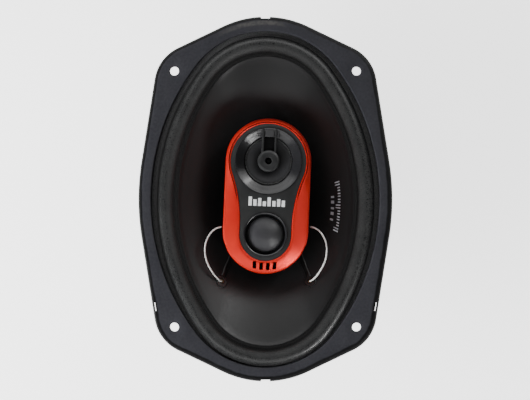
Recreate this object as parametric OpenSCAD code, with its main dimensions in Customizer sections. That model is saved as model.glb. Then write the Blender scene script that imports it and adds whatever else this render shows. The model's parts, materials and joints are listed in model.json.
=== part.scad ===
// Oval three-way coaxial car speaker.
// +Z is the firing direction, +Y the long axis of the oval.
// The origin is the centre of the four mounting holes, on the rear face of the steel flange.

/* [Flange] */
// Half length of the flange along Y
flange_half_l = 118.5; // [118.5:0.5:120]
// Half width of the flange along X
flange_half_w = 82.5; // [82.5:0.5:84]
// Thickness of the steel flange
flange_t = 1; // [0.8:0.1:1.2]
// Mounting holes, centre to centre along X
hole_dx = 118; // [117:0.5:119]
// Mounting holes, centre to centre along Y
hole_dy = 166; // [165:0.5:167]
// Mounting hole diameter
hole_d = 5.8; // [5:0.1:6.5]
// Height of the plastic trim ring's face above the steel flange's rear face
trim_top = 4.5; // [4:0.1:5]

/* [Ovals] */
// Half width of the oval opening in the trim ring
trim_a = 74; // [73.5:0.5:74]
// Half length of the oval opening in the trim ring
trim_b = 109; // [108.5:0.5:109]
// Half width of the oval that the surround, cone and basket are inset from
oval_a = 74.3; // [74:0.1:74.5]
// Half length of that oval
oval_b = 111; // [110.8:0.1:111.2]
// Woofer's axis right of the mounting holes' centre
axis_x = 0.3; // [0:0.1:0.5]
// Woofer's axis above the mounting holes' centre
axis_y = -1.3; // [-1.5:0.1:-1]
// Width of the half-round roll of the surround
roll_w = 10.8; // [10:0.1:11]
// Height of the roll above its lips
roll_h = 4.6; // [4:0.1:5]
// Depth of the cone, from its rim to its neck
cone_depth = 32; // [31:0.5:33]

/* [Motor] */
// Diameter of the ferrite magnet
magnet_d = 96; // [90:1:100]
// Thickness of the ferrite magnet
magnet_t = 17; // [16:0.5:17]
// Diameter of the top plate and of the yoke's back plate
plate_d = 88; // [80:1:89]
// Thickness of each steel plate
plate_t = 6; // [5:0.5:6]
// Diameter of the pole piece
pole_d = 24.6; // [24.4:0.1:24.7]

/* [Pod] */
// Radius of the pod's round ends
pod_r = 27.6; // [27.5:0.1:28]
// Distance between the centres of the pod's round ends
pod_span = 45; // [45:0.5:46]
// Turn of the pod about the speaker's axis, as the clamped screw left it
pod_turn = -2.5; // [-5:0.5:5]
// Height of the pod's front face
pod_front = 12; // [12:0.5:13]
// Height of the pod's rear face
pod_rear = -8; // [-8.5:0.5:-8]
// Midrange driver's centre above the middle of the pod
mid_y = 22.6; // [22.4:0.1:22.8]
// Tweeter's centre below the middle of the pod
tweeter_y = -24.6; // [-24.8:0.1:-24.4]

/* [Hidden] */
$fn = 96;
eps = 0.01;

// Cells along each of the four arcs of an oval ring
arc_cells = 12;

// A four-centre oval is [half width, half length, radius of its end arcs]
TRIM_OVAL = [trim_a, trim_b, 56];
OVAL = [oval_a, oval_b, 57];

// Flange outline: end arcs, four ear arcs and side arcs, joined by straight flanks
end_arc_r = 64;
side_arc_r = 156;
ear_r = 27;
flank_turn = 64.4;
side_turn = 9.1;
edge_round = 3;
notch_w = 5.8;
notch_depth = 1.4;
clip_x = 71.45;
clip_y = -69.8;
clip_w = 5.8;
clip_t = 0.7;

// Basket
steel_inset = 2.6;
skirt_z = 0.2;
bowl_inset = 6;
bowl_t = 1.1;
ledge_z = -38;
ledge_r = 53.5;
cup_r = 46;
base_z = -52;
base_hole_r = 15.5;
sheet_t = 1.2;
cup_windows = 8;
window_w = 18;
window_h = 8;
rivet_circle_r = 34;
rivet_count = 4;
rivet_hole_r = 2;
rivet_head_r = 3.4;
rivet_head_t = 1.3;

// Motor, from the basket's base down
magnet_z = base_z - plate_t;
yoke_z = magnet_z - magnet_t;
rear_z = yoke_z - plate_t;
pole_z = base_z + 1.4;
magnet_bore_d = 46;
plate_bore_d = 28.2;
screw_hole_d = 5;
screw_head_d = 7.6;
screw_head_h = 3.4;
screw_recess_d = 11;
screw_recess_h = 5;
screw_d = 4;
screw_tip_z = -38;

// Cone and voice coil
former_r = 12.95;
former_t = 0.2;
former_top = -29.5;
former_end = -62;
coil_h = 12;
coil_t = 0.4;
cone_t = 0.8;
cone_outer_inset = 14.7;
cone_edge_inset = 16.9;
cone_edge_z = -0.2;
neck_r = 13.1;
cone_flare = 0.12;
cone_rings = 6;
gap = 0.3;

// Surround lips
lip_t = 0.7;
roll_inset = 3.7;
surround_z = flange_t + 0.05;

// Where a lead's eyelet stands on the cone: arc angle and share of the way to the neck
eyelet_turn = [212.5, 327.5];
eyelet_share = 0.29;
lead_r = 0.6;

// Terminal pad on the -Y arm of the basket
pad_pos = [0, -80, -23.4];
pad_tilt = 150.4;
pad_size = [31, 18];
pad_t = 1.9;
board_size = [28, 15];
board_t = 1.6;
board_z = 1;
board_top = board_z + board_t;
eyelet_x = 11;
eyelet_hole_r = 1.5;
eyelet_head_r = 2.4;
eyelet_head_t = 0.8;
blade_x = 6;
blade_t = 0.8;
blade_h = 9;
positive_w = 4.8;
negative_w = 2.8;

// Pod
pod_pos = [1, 1.9];
shell_t = 2;
front_t = 2.2;
back_t = 1.8;
pear_r = 24.3;
pear_y = 22.2;
pear_small_r = 16.6;
pear_small_y = -25;
pear_waist_r = 90;
face_top = 12.4;
face_t = 2.6;
mid_hole_r = 21.5;
tweeter_hole_r = 14.25;
post_r = 6.5;
post_flange_r = 12;
boss_x = 22;
boss_r = 2.8;
boss_hole_r = 1.3;
slot_w = 2;
slot_l = 4.6;
slot_pitch = 4.3;
lead_exit_y = -20.4;
lead_exit_z = 0;

// Routes of the right-hand tinsel leads, from the pod or the terminals to the cone
front_route = [[29, -16.8, 0], [31.5, -17.4, 0.6], [34.6, -19.4, 1.3], [37.2, -22.8, 1.8],
  [39, -27, 2], [39.6, -31.6, 1.7], [39.1, -36.6, 1], [37.5, -41.4, -0.1],
  [35.2, -45.8, -1.8], [32.8, -49.2, -3.8], [30.8, -51.4, -5.5]];
rear_route = [[10.2, -82.2, -27.3], [13, -82.2, -27.8], [16, -81, -28], [19, -78.8, -27.2],
  [21.6, -75.6, -25.2], [23.6, -71.4, -22.4], [25.3, -66.8, -19.4], [26.9, -62, -16.2],
  [28.2, -57.4, -12.9], [29, -54.4, -10.1]];

// ---------- outlines ----------

function arc(c, r, from, to, n) =
  [for (i = [0:n]) let (t = from + (to - from) * i / n) [c[0] + r * cos(t), c[1] + r * sin(t)]];

// Radius of an oval's side arcs, and the normal's angle where they meet its end arcs
function side_r(o) = (o[0] * o[0] + o[1] * o[1] - 2 * o[1] * o[2]) / (2 * (o[0] - o[2]));
function corner_turn(o) = atan2(o[1] - o[2], side_r(o) - o[0]);

// Normal angles at the ends of the cells round an oval ring
function oval_turns(o) =
  let (c = corner_turn(o), side = [for (i = [0:arc_cells - 1]) -c + 2 * c * i / arc_cells],
       end = [for (i = [0:arc_cells - 1]) c + (180 - 2 * c) * i / arc_cells])
  concat(side, end, [for (t = side) t + 180], [for (t = end) t + 180]);

TURNS = oval_turns(OVAL);

// Point of an oval, moved inwards by inset, where its normal points along turn
function oval_point(o, turn, inset) =
  let (on_side = abs(cos(turn)) > cos(corner_turn(o)) - 1e-6,
       c = on_side ? [-sign(cos(turn)) * (side_r(o) - o[0]), 0] : [0, sign(sin(turn)) * (o[1] - o[2])],
       r = (on_side ? side_r(o) : o[2]) - inset)
  [c[0] + r * cos(turn), c[1] + r * sin(turn)];

function oval(inset) = [for (t = TURNS) oval_point(OVAL, t, inset)];
function trim_oval() = [for (t = oval_turns(TRIM_OVAL)) oval_point(TRIM_OVAL, t, 0)];

// Ring between an oval and a circle: share 0 is the oval, 1 is the circle of radius r
function mixed_ring(inset, r, share, z) =
  [for (t = TURNS) let (p = oval_point(OVAL, t, inset) * (1 - share) + r * share * [cos(t), sin(t)])
    [p[0], p[1], z]];

// Flange outline, moved inwards by inset
ear_n1 = [cos(flank_turn), sin(flank_turn)];
ear_n2 = [cos(side_turn), sin(side_turn)];
ear_b1 = ear_n1 * [0, flange_half_l - end_arc_r] + end_arc_r - ear_r;
ear_b2 = ear_n2 * [flange_half_w - side_arc_r, 0] + side_arc_r - ear_r;
ear_det = ear_n1[0] * ear_n2[1] - ear_n1[1] * ear_n2[0];
ear_c = [(ear_b1 * ear_n2[1] - ear_n1[1] * ear_b2) / ear_det,
         (ear_n1[0] * ear_b2 - ear_b1 * ear_n2[0]) / ear_det];

function mirror_x(p) = [for (i = [len(p) - 1:-1:0]) [-p[i][0], p[i][1]]];
function skip_first(p) = [for (i = [1:len(p) - 1]) p[i]];

function flange_quarter(inset) = concat(
  arc([flange_half_w - side_arc_r, 0], side_arc_r - inset, 0, side_turn, 4),
  arc(ear_c, ear_r - inset, side_turn, flank_turn, 10),
  arc([0, flange_half_l - end_arc_r], end_arc_r - inset, flank_turn, 90, 6));

function flange_outline(inset) =
  let (q = flange_quarter(inset), top = concat(q, skip_first(mirror_x(q))))
  concat(top, [for (i = [len(top) - 2:-1:1]) [top[i][0], -top[i][1]]]);

// Pod outline: two half circles joined by straight sides
function pod_ring(r) = concat(arc([0, pod_span / 2], r, 0, 180, 20),
                              arc([0, -pod_span / 2], r, 180, 360, 20));

// Pear outline of the face plate, moved outwards by grow
function pear(grow) =
  let (wx = pear_small_r + pear_waist_r,
       wy = pear_y - sqrt(pow(pear_waist_r + pear_r, 2) - wx * wx),
       lean = atan2(pear_y - wy, wx),
       r = pear_waist_r - grow)
  concat(arc([0, pear_y], pear_r + grow, -lean, 180 + lean, 30),
         arc([-wx, wy], r, lean, 0, 6),
         arc([0, pear_small_y], pear_small_r + grow, 180, 360, 20),
         arc([wx, wy], r, 180, 180 - lean, 6));

// ---------- solids from rings ----------

function lift(ring, z) = [for (p = ring) [p[0], p[1], z]];
function joined(lists) = [for (l = lists) each l];

// Closed solid through a stack of rings, lowest first, each ring counter-clockwise
module stack(rings) {
  n = len(rings[0]);
  m = len(rings);
  sides = [for (j = [0:m - 2], i = [0:n - 1]) let (k = (i + 1) % n)
    [j * n + i, (j + 1) * n + i, (j + 1) * n + k, j * n + k]];
  polyhedron(joined(rings), concat([[for (i = [0:n - 1]) i]], sides,
    [[for (i = [n - 1:-1:0]) (m - 1) * n + i]]));
}

// Closed loop of rings: a wall that runs round a profile and back to its first ring
module loop_solid(rings) {
  n = len(rings[0]);
  m = len(rings);
  polyhedron(joined(rings), [for (j = [0:m - 1], i = [0:n - 1])
    let (k = (i + 1) % n, q = (j + 1) % m) [j * n + i, q * n + i, q * n + k, j * n + k]]);
}

// Sheet with windows: outer and inner surfaces, and an edge wall wherever a cell is missing
module sheet(outer, inner, solid) {
  n = len(outer[0]);
  m = len(outer);
  base = n * m;
  at = function (j, i) j >= 0 && j < m - 1 && solid(j, (i + n) % n);
  id = function (j, i) j * n + (i + n) % n;
  faces = [for (j = [0:m - 2], i = [0:n - 1]) if (at(j, i)) each [
    [id(j, i), id(j + 1, i), id(j + 1, i + 1), id(j, i + 1)],
    [base + id(j, i + 1), base + id(j + 1, i + 1), base + id(j + 1, i), base + id(j, i)],
    if (!at(j - 1, i)) [id(j, i), id(j, i + 1), base + id(j, i + 1), base + id(j, i)],
    if (!at(j + 1, i)) [id(j + 1, i + 1), id(j + 1, i), base + id(j + 1, i), base + id(j + 1, i + 1)],
    if (!at(j, i - 1)) [id(j + 1, i), id(j, i), base + id(j, i), base + id(j + 1, i)],
    if (!at(j, i + 1)) [id(j, i + 1), id(j + 1, i + 1), base + id(j + 1, i + 1), base + id(j, i + 1)]]];
  polyhedron(concat(joined(outer), joined(inner)), faces);
}

// Round tube of radius r swept along a route of points
module tube(route, r) {
  n = 8;
  m = len(route);
  unit = function (v) v / norm(v);
  rings = [for (j = [0:m - 1])
    let (d = unit(route[min(j + 1, m - 1)] - route[max(j - 1, 0)]),
         u = unit(cross(d, [0, 0, 1])), v = cross(u, d))
    [for (i = [0:n - 1]) route[j] + r * (u * cos(360 * i / n) + v * sin(360 * i / n))]];
  stack(rings);
}

module ring(r_out, r_in, z0, z1) {
  translate([0, 0, z0]) difference() {
    cylinder(r = r_out, h = z1 - z0);
    translate([0, 0, -1]) cylinder(r = r_in, h = z1 - z0 + 2);
  }
}

module on_axis() {
  translate([axis_x, axis_y, 0]) children();
}

module disc(r, z0, z1) {
  translate([0, 0, z0]) cylinder(r = r, h = z1 - z0);
}

module slab(outline, z0, z1) {
  translate([0, 0, z0]) linear_extrude(z1 - z0) polygon(outline);
}

module mounting_holes(z0, z1) {
  for (x = [-1, 1], y = [-1, 1])
    translate([x * hole_dx / 2, y * hole_dy / 2, z0]) cylinder(d = hole_d, h = z1 - z0);
}

module end_notches(depth, z0, z1) {
  for (y = [-1, 1])
    translate([-notch_w / 2, y * flange_half_l - (y > 0 ? depth : 2), z0])
      cube([notch_w, depth + 2, z1 - z0]);
}

// ---------- frame, motor and suspension ----------

// Rows of cells: the foot band, three rows with the eight windows, and the rim band
function window_cell(j, i) =
  let (end_arm = i % (2 * arc_cells) >= arc_cells, k = i % arc_cells)
  j >= 1 && j <= 3 && (end_arm ? (k >= 1 && k <= 3) || (k >= 8 && k <= 10)
                               : (k >= 1 && k <= 4) || (k >= 7 && k <= 10));

module bowl() {
  foot_r = ledge_r - 0.6;
  skin = function (out) [
    mixed_ring(bowl_inset + 2 - out, foot_r + out * 0.6, 1, ledge_z + sheet_t / 2),
    mixed_ring(bowl_inset + 2 - out, foot_r + out * 0.6, 0.9, -35),
    mixed_ring(bowl_inset + 2 - out, foot_r + out * 0.6, 0.5, -24),
    mixed_ring(bowl_inset + 2 - out, foot_r + out * 0.6, 0.1, -12.5),
    mixed_ring(bowl_inset + 0.4 - out, foot_r, 0, -7),
    mixed_ring(bowl_inset - out, foot_r, 0, flange_t / 2)];
  sheet(skin(bowl_t), skin(0), function (j, i) !window_cell(j, i));
}

module basket() {
  color("#1b1c1e") difference() {
    union() {
      difference() {
        slab(flange_outline(steel_inset), 0, flange_t);
        on_axis() slab(oval(bowl_inset + 0.6), -1, flange_t + 1);
        mounting_holes(-1, flange_t + 1);
      }
      on_axis() bowl();
      on_axis() cup();
      on_pad() translate([-pad_size[0] / 2, -pad_size[1] / 2, -pad_t / 2])
        cube([pad_size[0], pad_size[1], pad_t]);
    }
    at_eyelets() {
      disc(eyelet_hole_r, -5, 5);
      disc(eyelet_head_r + 0.3, -5, -pad_t / 2);
    }
  }
}

// Flat ledge for the spider, wall with vent windows, and base on the top plate
module cup() {
  ledge_end = ledge_r + 0.8;
  difference() {
    rotate_extrude() polygon([[base_hole_r, base_z], [cup_r, base_z], [cup_r + sheet_t, ledge_z],
      [ledge_end, ledge_z], [ledge_end, ledge_z + sheet_t], [cup_r, ledge_z + sheet_t],
      [cup_r - sheet_t, base_z + sheet_t], [base_hole_r, base_z + sheet_t]]);
    for (i = [0:cup_windows - 1]) rotate([0, 0, 360 * (i + 0.5) / cup_windows])
      translate([cup_r - window_h / 2, -window_w / 2, base_z + 3]) cube([window_h, window_w, window_h]);
    at_rivets() disc(rivet_hole_r, base_z - 1, base_z + 3);
  }
}

module at_rivets() {
  for (i = [0:rivet_count - 1]) rotate([0, 0, 360 * (i + 0.5) / rivet_count])
    translate([rivet_circle_r, 0, 0]) children();
}

module on_pad() {
  on_axis() translate(pad_pos) rotate([pad_tilt, 0, 0]) children();
}

module at_eyelets() {
  on_pad() for (x = [-1, 1]) translate([eyelet_x * x, 0, 0]) children();
}

// Two narrow slots through the ring's rounded edge, along the lower flanks
module clip_slots() {
  for (x = [-1, 1])
    translate([x * clip_x, clip_y, -1]) rotate([0, 0, -x * side_turn])
      translate([-clip_t / 2, -clip_w / 2, 0]) cube([clip_t, clip_w, trim_top + 2]);
}

module trim_ring() {
  rounding = [for (i = [0:4]) let (t = 22.5 * i)
    lift(flange_outline(edge_round * (1 - cos(t))), trim_top - edge_round * (1 - sin(t)))];
  color("#45464c") difference() {
    stack(concat([lift(flange_outline(0), skirt_z)], rounding));
    slab(flange_outline(steel_inset - 0.1), skirt_z - 1, flange_t + eps);
    slab(trim_oval(), skirt_z - 1, trim_top + 1);
    on_axis() slab(oval(-0.3), skirt_z - 1, surround_z + lip_t + 0.15);
    mounting_holes(0, trim_top + 1);
    end_notches(notch_depth, 0, trim_top + 1);
    clip_slots();
  }
}

module top_plate() {
  color("#b9bcc0") on_axis() difference() {
    ring(plate_d / 2, plate_bore_d / 2, magnet_z, base_z);
    at_rivets() disc(rivet_hole_r, magnet_z - 1, base_z + 1);
  }
}

module base_rivets() {
  color("#b9bcc0") on_axis() at_rivets() {
    disc(rivet_head_r, base_z + sheet_t, base_z + sheet_t + rivet_head_t);
    disc(rivet_hole_r - 0.05, magnet_z + 0.5, base_z + sheet_t + eps);
  }
}

module magnet() {
  color("#3a3a3c") on_axis() ring(magnet_d / 2, magnet_bore_d / 2, yoke_z, magnet_z);
}

module yoke() {
  color("#b9bcc0") on_axis() difference() {
    union() {
      disc(plate_d / 2, rear_z, yoke_z);
      disc(pole_d / 2, yoke_z - 1, pole_z);
    }
    disc(screw_hole_d / 2, rear_z - 1, pole_z + 1);
    disc(screw_recess_d / 2, rear_z - 1, rear_z + screw_recess_h);
  }
}

// Profile points of the roll: a half ellipse from lip to lip
function roll_points(n, grow) = [for (i = [0:n]) let (t = 180 * i / n)
  [roll_inset + roll_w / 2 - (roll_w / 2 + grow) * cos(t), (roll_h + grow) * sin(t)]];

module surround() {
  top = roll_points(8, 0);
  under = roll_points(8, -lip_t);
  inner_end = cone_edge_inset - 0.3;
  profile = concat(
    [[gap, 0], [gap, lip_t]],
    [for (p = top) [p[0], p[1] + lip_t]],
    [[inner_end, lip_t], [inner_end, 0]],
    [for (i = [len(under) - 1:-1:0]) [under[i][0], under[i][1] + eps]]);
  color("#2a2b2c") on_axis() loop_solid([for (p = profile) lift(oval(p[0]), p[1] + surround_z)]);
}

module spider() {
  folds = 5;
  inner = former_r + gap + 0.1;
  start = inner + 1.6;
  end = cup_r - 1.6;
  n = folds * 8;
  wave = [for (i = [0:n]) [start + (end - start) * i / n, 1.3 * sin(360 * folds * i / n)]];
  spider_t = 0.5;
  z = ledge_z + sheet_t;
  color("#c9a24a") on_axis() translate([0, 0, z + 0.05]) rotate_extrude() polygon(concat(
    [[inner, 0], [start, 0]], wave, [[ledge_r - 3, 0], [ledge_r - 3, spider_t]],
    [for (i = [n:-1:0]) wave[i] + [0, spider_t]], [[start, spider_t], [inner, spider_t]]));
}

module terminal_board() {
  color("#5a3a1e") difference() {
    on_pad() translate([-board_size[0] / 2, -board_size[1] / 2, board_z])
      cube([board_size[0], board_size[1], board_t]);
    at_eyelets() disc(eyelet_hole_r, 0, 5);
  }
}

// Blade terminal: a foot on the board and a tab that stands off it
module blade(w) {
  foot_l = 7;
  translate([-w / 2, -foot_l / 2, board_top]) cube([w, foot_l, blade_t]);
  translate([-w / 2, foot_l / 2 - blade_t, board_top]) cube([w, blade_t, blade_h]);
}

module terminal_positive() {
  color("#d9b45a") on_pad() translate([-blade_x, 0, 0]) blade(positive_w);
}

module terminal_negative() {
  color("#d9d9d9") on_pad() translate([blade_x, 0, 0]) blade(negative_w);
}

module terminal_rivets() {
  color("#c8c8c8") at_eyelets() {
    disc(eyelet_hole_r - 0.05, -pad_t / 2 - eyelet_head_t / 2, board_top + eyelet_head_t / 2);
    disc(eyelet_head_r, board_top, board_top + eyelet_head_t);
    disc(eyelet_head_r, -pad_t / 2 - eyelet_head_t, -pad_t / 2);
  }
}

// ---------- moving woofer assembly ----------

// Height of the cone's rim: it hangs just under the surround's inner lip
cone_lift = surround_z - gap;

function cone_z(share) = cone_edge_z - (cone_depth + cone_edge_z) * share * (1 - cone_flare * (1 - share));

function cone_point(turn, share) =
  let (p = oval_point(OVAL, turn, cone_edge_inset) * (1 - share) + neck_r * share * [cos(turn), sin(turn)])
  [p[0], p[1], cone_z(share)];

module cone() {
  front = concat([lift(oval(cone_outer_inset), 0), lift(oval(cone_edge_inset - 0.4), 0)],
    [for (j = [0:cone_rings]) mixed_ring(cone_edge_inset, neck_r, j / cone_rings, cone_z(j / cone_rings))]);
  rear = concat([for (j = [cone_rings:-1:0]) let (s = j / cone_rings)
      mixed_ring(cone_edge_inset, neck_r + 0.1, s, cone_z(s) - 1.3 * cone_t)],
    [lift(oval(cone_outer_inset), -1.3 * cone_t)]);
  color("#1d1e20") on_axis() loop_solid([for (r = concat(front, rear)) lift(r, r[0][2] + cone_lift)]);
}

module former() {
  color("#c8a05a") on_axis() ring(former_r, former_r - former_t, former_end, former_top);
}

module voice_coil() {
  color("#a5562a") on_axis() ring(former_r + coil_t, former_r + eps, former_end + 0.5, former_end + 0.5 + coil_h);
}

module dust_ring() {
  color("#262626") on_axis() ring(former_r - former_t - eps, post_r + 2, former_top - 2, former_top - 0.3);
}

function eyelet_pos(i) = cone_point(eyelet_turn[i], eyelet_share) + [0, 0, cone_lift];

module lead_eyelets() {
  color("#c9a63f") on_axis() for (i = [0, 1]) translate(eyelet_pos(i)) ring(1.2, 0.7, 0.02, 0.5);
}

module lead_adhesive() {
  color("#111111") on_axis() for (i = [0, 1]) translate(eyelet_pos(i)) difference() {
    translate([0, 0, -0.4]) cylinder(r1 = 3.4, r2 = 2.2, h = 1.6);
    translate([0, 0, -0.5]) cylinder(r = 1.25, h = 3);
  }
}

module coil_leads() {
  color("#151515") on_axis() for (i = [0, 1])
    tube([for (s = [eyelet_share + 0.09:0.08:0.95]) cone_point(eyelet_turn[i], s)
      + [0, 0, cone_lift + lead_r + 0.3]], lead_r);
}

// ---------- tinsel leads ----------

module front_lead_right() {
  color("#c8c8c8") on_axis() tube(front_route, lead_r);
}

module front_lead_left() {
  color("#c8c8c8") on_axis() mirror([1, 0, 0]) tube(front_route, lead_r);
}

module rear_lead_right() {
  color("#c8c8c8") on_axis() tube(rear_route, lead_r);
}

module rear_lead_left() {
  color("#c8c8c8") on_axis() mirror([1, 0, 0]) tube(rear_route, lead_r);
}

// ---------- pod ----------

module in_pod(y = 0) {
  translate([pod_pos[0], pod_pos[1], 0]) rotate([0, 0, pod_turn]) translate([0, y, 0]) children();
}

module pod_post() {
  color("#1c1c1e") on_axis() difference() {
    union() {
      disc(post_r, pole_z, pod_rear - 1);
      disc(post_flange_r, pod_rear - 2.2, pod_rear);
    }
    disc(screw_d / 2 + 0.02, pole_z - 1, screw_tip_z + 2);
  }
}

module pod_screw() {
  color("#c0c2c6") on_axis() {
    disc(screw_d / 2, rear_z + 1, screw_tip_z);
    disc(screw_head_d / 2, rear_z + screw_recess_h - screw_head_h - 0.8, rear_z + screw_recess_h - 0.8);
  }
}

module pod_washer() {
  color("#c0c2c6") on_axis() ring(5, screw_d / 2 + 0.2, rear_z + screw_recess_h - 0.8, rear_z + screw_recess_h);
}

module pod_back() {
  color("#1c1c1e") in_pod() difference() {
    slab(pod_ring(pod_r - shell_t - 0.1), pod_rear, pod_rear + back_t);
    for (x = [-1, 1]) translate([x * boss_x, 0, pod_rear - 1]) cylinder(r = boss_hole_r, h = 4);
  }
}

module pod_back_screws() {
  color("#8f9296") in_pod() for (x = [-1, 1]) translate([x * boss_x, 0, 0]) {
    disc(2.3, pod_rear - 1.2, pod_rear);
    disc(boss_hole_r - 0.05, pod_rear - 0.1, pod_rear + 9);
  }
}

module pod_shell() {
  edge = 2.4;
  rounding = [for (i = [0:3]) let (t = 30 * i)
    lift(pod_ring(pod_r - edge * (1 - cos(t))), pod_front - edge * (1 - sin(t)))];
  color("#d93a26") in_pod() difference() {
    union() {
      difference() {
        stack(concat([lift(pod_ring(pod_r), pod_rear)], rounding));
        slab(pod_ring(pod_r - shell_t), pod_rear - 1, pod_front - front_t);
      }
      for (x = [-1, 1]) translate([x * boss_x, 0, pod_rear + back_t])
        cylinder(r = boss_r, h = pod_front - front_t - pod_rear - back_t + 0.5);
    }
    slab(pear(0.1), pod_front - 4, pod_front + 1);
    for (x = [-1, 1]) translate([x * boss_x, 0, pod_rear]) cylinder(r = boss_hole_r, h = 12);
    for (i = [-1.5:1:1.5]) translate([slot_pitch * i - slot_w / 2, pear_small_y - 23 + abs(i) * 0.6, 0])
      cube([slot_w, slot_l, pod_front + 1]);
    for (x = [-1, 1]) translate([x * pod_r, lead_exit_y, lead_exit_z]) rotate([0, 90, 0])
      translate([0, 0, -4]) cylinder(d = 2.2, h = 8);
  }
}

module pod_face() {
  color("#2f3133") in_pod() difference() {
    slab(pear(0), face_top - face_t, face_top);
    translate([0, mid_y, 0]) cylinder(r = mid_hole_r, h = 20);
    translate([0, tweeter_y, 0]) cylinder(r = tweeter_hole_r, h = 20);
  }
}

// ---------- midrange driver ----------

module mid_frame() {
  color("#35373a") in_pod(mid_y) rotate_extrude() polygon([
    [6.2, 3.2], [12.2, 3.2], [15.4, 5], [15.4, 9.6], [21, 13], [21.4, 12.8],
    [21.4, 10.6], [16.6, 8], [16.6, 4.4], [12.8, 2.4], [12.8, 1.4], [12.1, 1.4], [12.1, 2.2], [6.2, 2.2]]);
}

module mid_bridge() {
  rail_w = 2;
  rail_x = 4.1;
  rail_z = 11.4;
  rail_end = 20.4;
  color("#35373a") in_pod(mid_y) difference() {
    union() {
      disc(7.1, 10.4, 13.6);
      for (x = [-1, 1]) translate([x * rail_x - rail_w / 2, 4, rail_z]) cube([rail_w, rail_end - 4, 2.2]);
      translate([-rail_x, 15.5, rail_z]) cube([2 * rail_x, rail_end - 15.5, 1.6]);
    }
    disc(2.15, 9, 15);
  }
}

module mid_edge() {
  color("#202122") in_pod(mid_y) ring(15.3, 14.1, 9.3, 9.7);
}

module mid_cone() {
  color("#202122") in_pod(mid_y) rotate_extrude() polygon([
    [5.05, 6.2], [13.2, 8.6], [14.2, 8.6], [14.2, 9], [13.1, 9], [5.05, 6.6]]);
}

module mid_dust_cap() {
  color("#2a2b2d") in_pod(mid_y) rotate_extrude() polygon(concat(
    [for (i = [0:8]) let (t = 3.9 * i) [8 * sin(t), 8 * cos(t) + 0.6]],
    [for (i = [8:-1:0]) let (t = 3.9 * i) [7.7 * sin(t), 7.7 * cos(t) + 0.6]]));
}

module mid_voice_coil() {
  color("#a5562a") in_pod(mid_y) {
    ring(5, 4.8, -0.4, 6.6);
    ring(5.25, 5 - eps, 0.2, 3.6);
  }
}

module mid_top_plate() {
  color("#b9bcc0") in_pod(mid_y) ring(12, 5.7, 0.2, 2.2 - eps);
}

module mid_magnet() {
  color("#3a3a3c") in_pod(mid_y) ring(11.4, 6.6, -3.6, 0.2);
}

module mid_yoke() {
  color("#b9bcc0") in_pod(mid_y) {
    disc(12, -5.2, -3.6);
    disc(4.4, -3.7, 2.2);
  }
}

// ---------- tweeter ----------

module tweeter_frame() {
  color("#35373a") in_pod(tweeter_y) rotate_extrude() polygon([
    [11.3, 7], [13.6, 7], [14.15, 7.6], [14.15, 13], [13.8, 13.2], [12.75, 12.2],
    [12.75, 9.2], [11.5, 8.8], [11.3, 8.8]]);
}

module tweeter_edge() {
  color("#26272a") in_pod(tweeter_y) ring(12.65, 11.5, 9.3, 9.7);
}

module tweeter_dome() {
  dome_r = 11.2;
  dome_h = 4;
  ball_r = (dome_r * dome_r + dome_h * dome_h) / (2 * dome_h);
  span = asin(dome_r / ball_r);
  n = 12;
  color("#5d5f63") in_pod(tweeter_y) translate([0, 0, 9.4 + dome_h - ball_r]) rotate_extrude() polygon(concat(
    [for (i = [0:n]) let (t = span * i / n) [ball_r * sin(t), ball_r * cos(t)]],
    [for (i = [n:-1:0]) let (t = span * i / n) [(ball_r - 0.25) * sin(t), (ball_r - 0.25) * cos(t)]]));
}

module tweeter_voice_coil() {
  color("#a5562a") in_pod(tweeter_y) {
    ring(10.15, 10, 4.6, 9.6);
    ring(10.4, 10.15 - eps, 4.6, 7);
  }
}

module tweeter_cup() {
  color("#b9bcc0") in_pod(tweeter_y) difference() {
    disc(13.4, -0.6, 7);
    disc(11, 1, 8);
  }
}

module tweeter_magnet() {
  color("#8d9094") in_pod(tweeter_y) disc(9, 1, 4.6);
}

module tweeter_pole_plate() {
  color("#b9bcc0") in_pod(tweeter_y) disc(9.6, 4.6, 6.6);
}

// ---------- crossover capacitors, glued inside the pod ----------

module capacitor(y, r, l) {
  in_pod(y) translate([-l / 2, 0, pod_rear + back_t + r + 0.05]) rotate([0, 90, 0]) {
    cylinder(r = r, h = l);
    translate([0, 0, -2]) cylinder(r = 0.35, h = l + 4);
  }
}

module capacitor_mid() {
  color("#20242c") capacitor(5, 4, 16);
}

module capacitor_tweeter() {
  color("#20242c") capacitor(-5.4, 3.2, 12);
}

basket();
trim_ring();
top_plate();
magnet();
yoke();
base_rivets();
surround();
spider();
terminal_board();
terminal_positive();
terminal_negative();
terminal_rivets();
cone();
former();
voice_coil();
dust_ring();
lead_eyelets();
lead_adhesive();
coil_leads();
front_lead_left();
front_lead_right();
rear_lead_left();
rear_lead_right();
pod_post();
pod_screw();
pod_washer();
pod_back();
pod_back_screws();
pod_shell();
pod_face();
mid_frame();
mid_bridge();
mid_edge();
mid_cone();
mid_dust_cap();
mid_voice_coil();
mid_top_plate();
mid_magnet();
mid_yoke();
tweeter_frame();
tweeter_edge();
tweeter_dome();
tweeter_voice_coil();
tweeter_pole_plate();
tweeter_magnet();
tweeter_cup();
capacitor_mid();
capacitor_tweeter();
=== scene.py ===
import json
import math

import bmesh
import bpy
import numpy as np
from mathutils import Matrix, Vector, geometry


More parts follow.
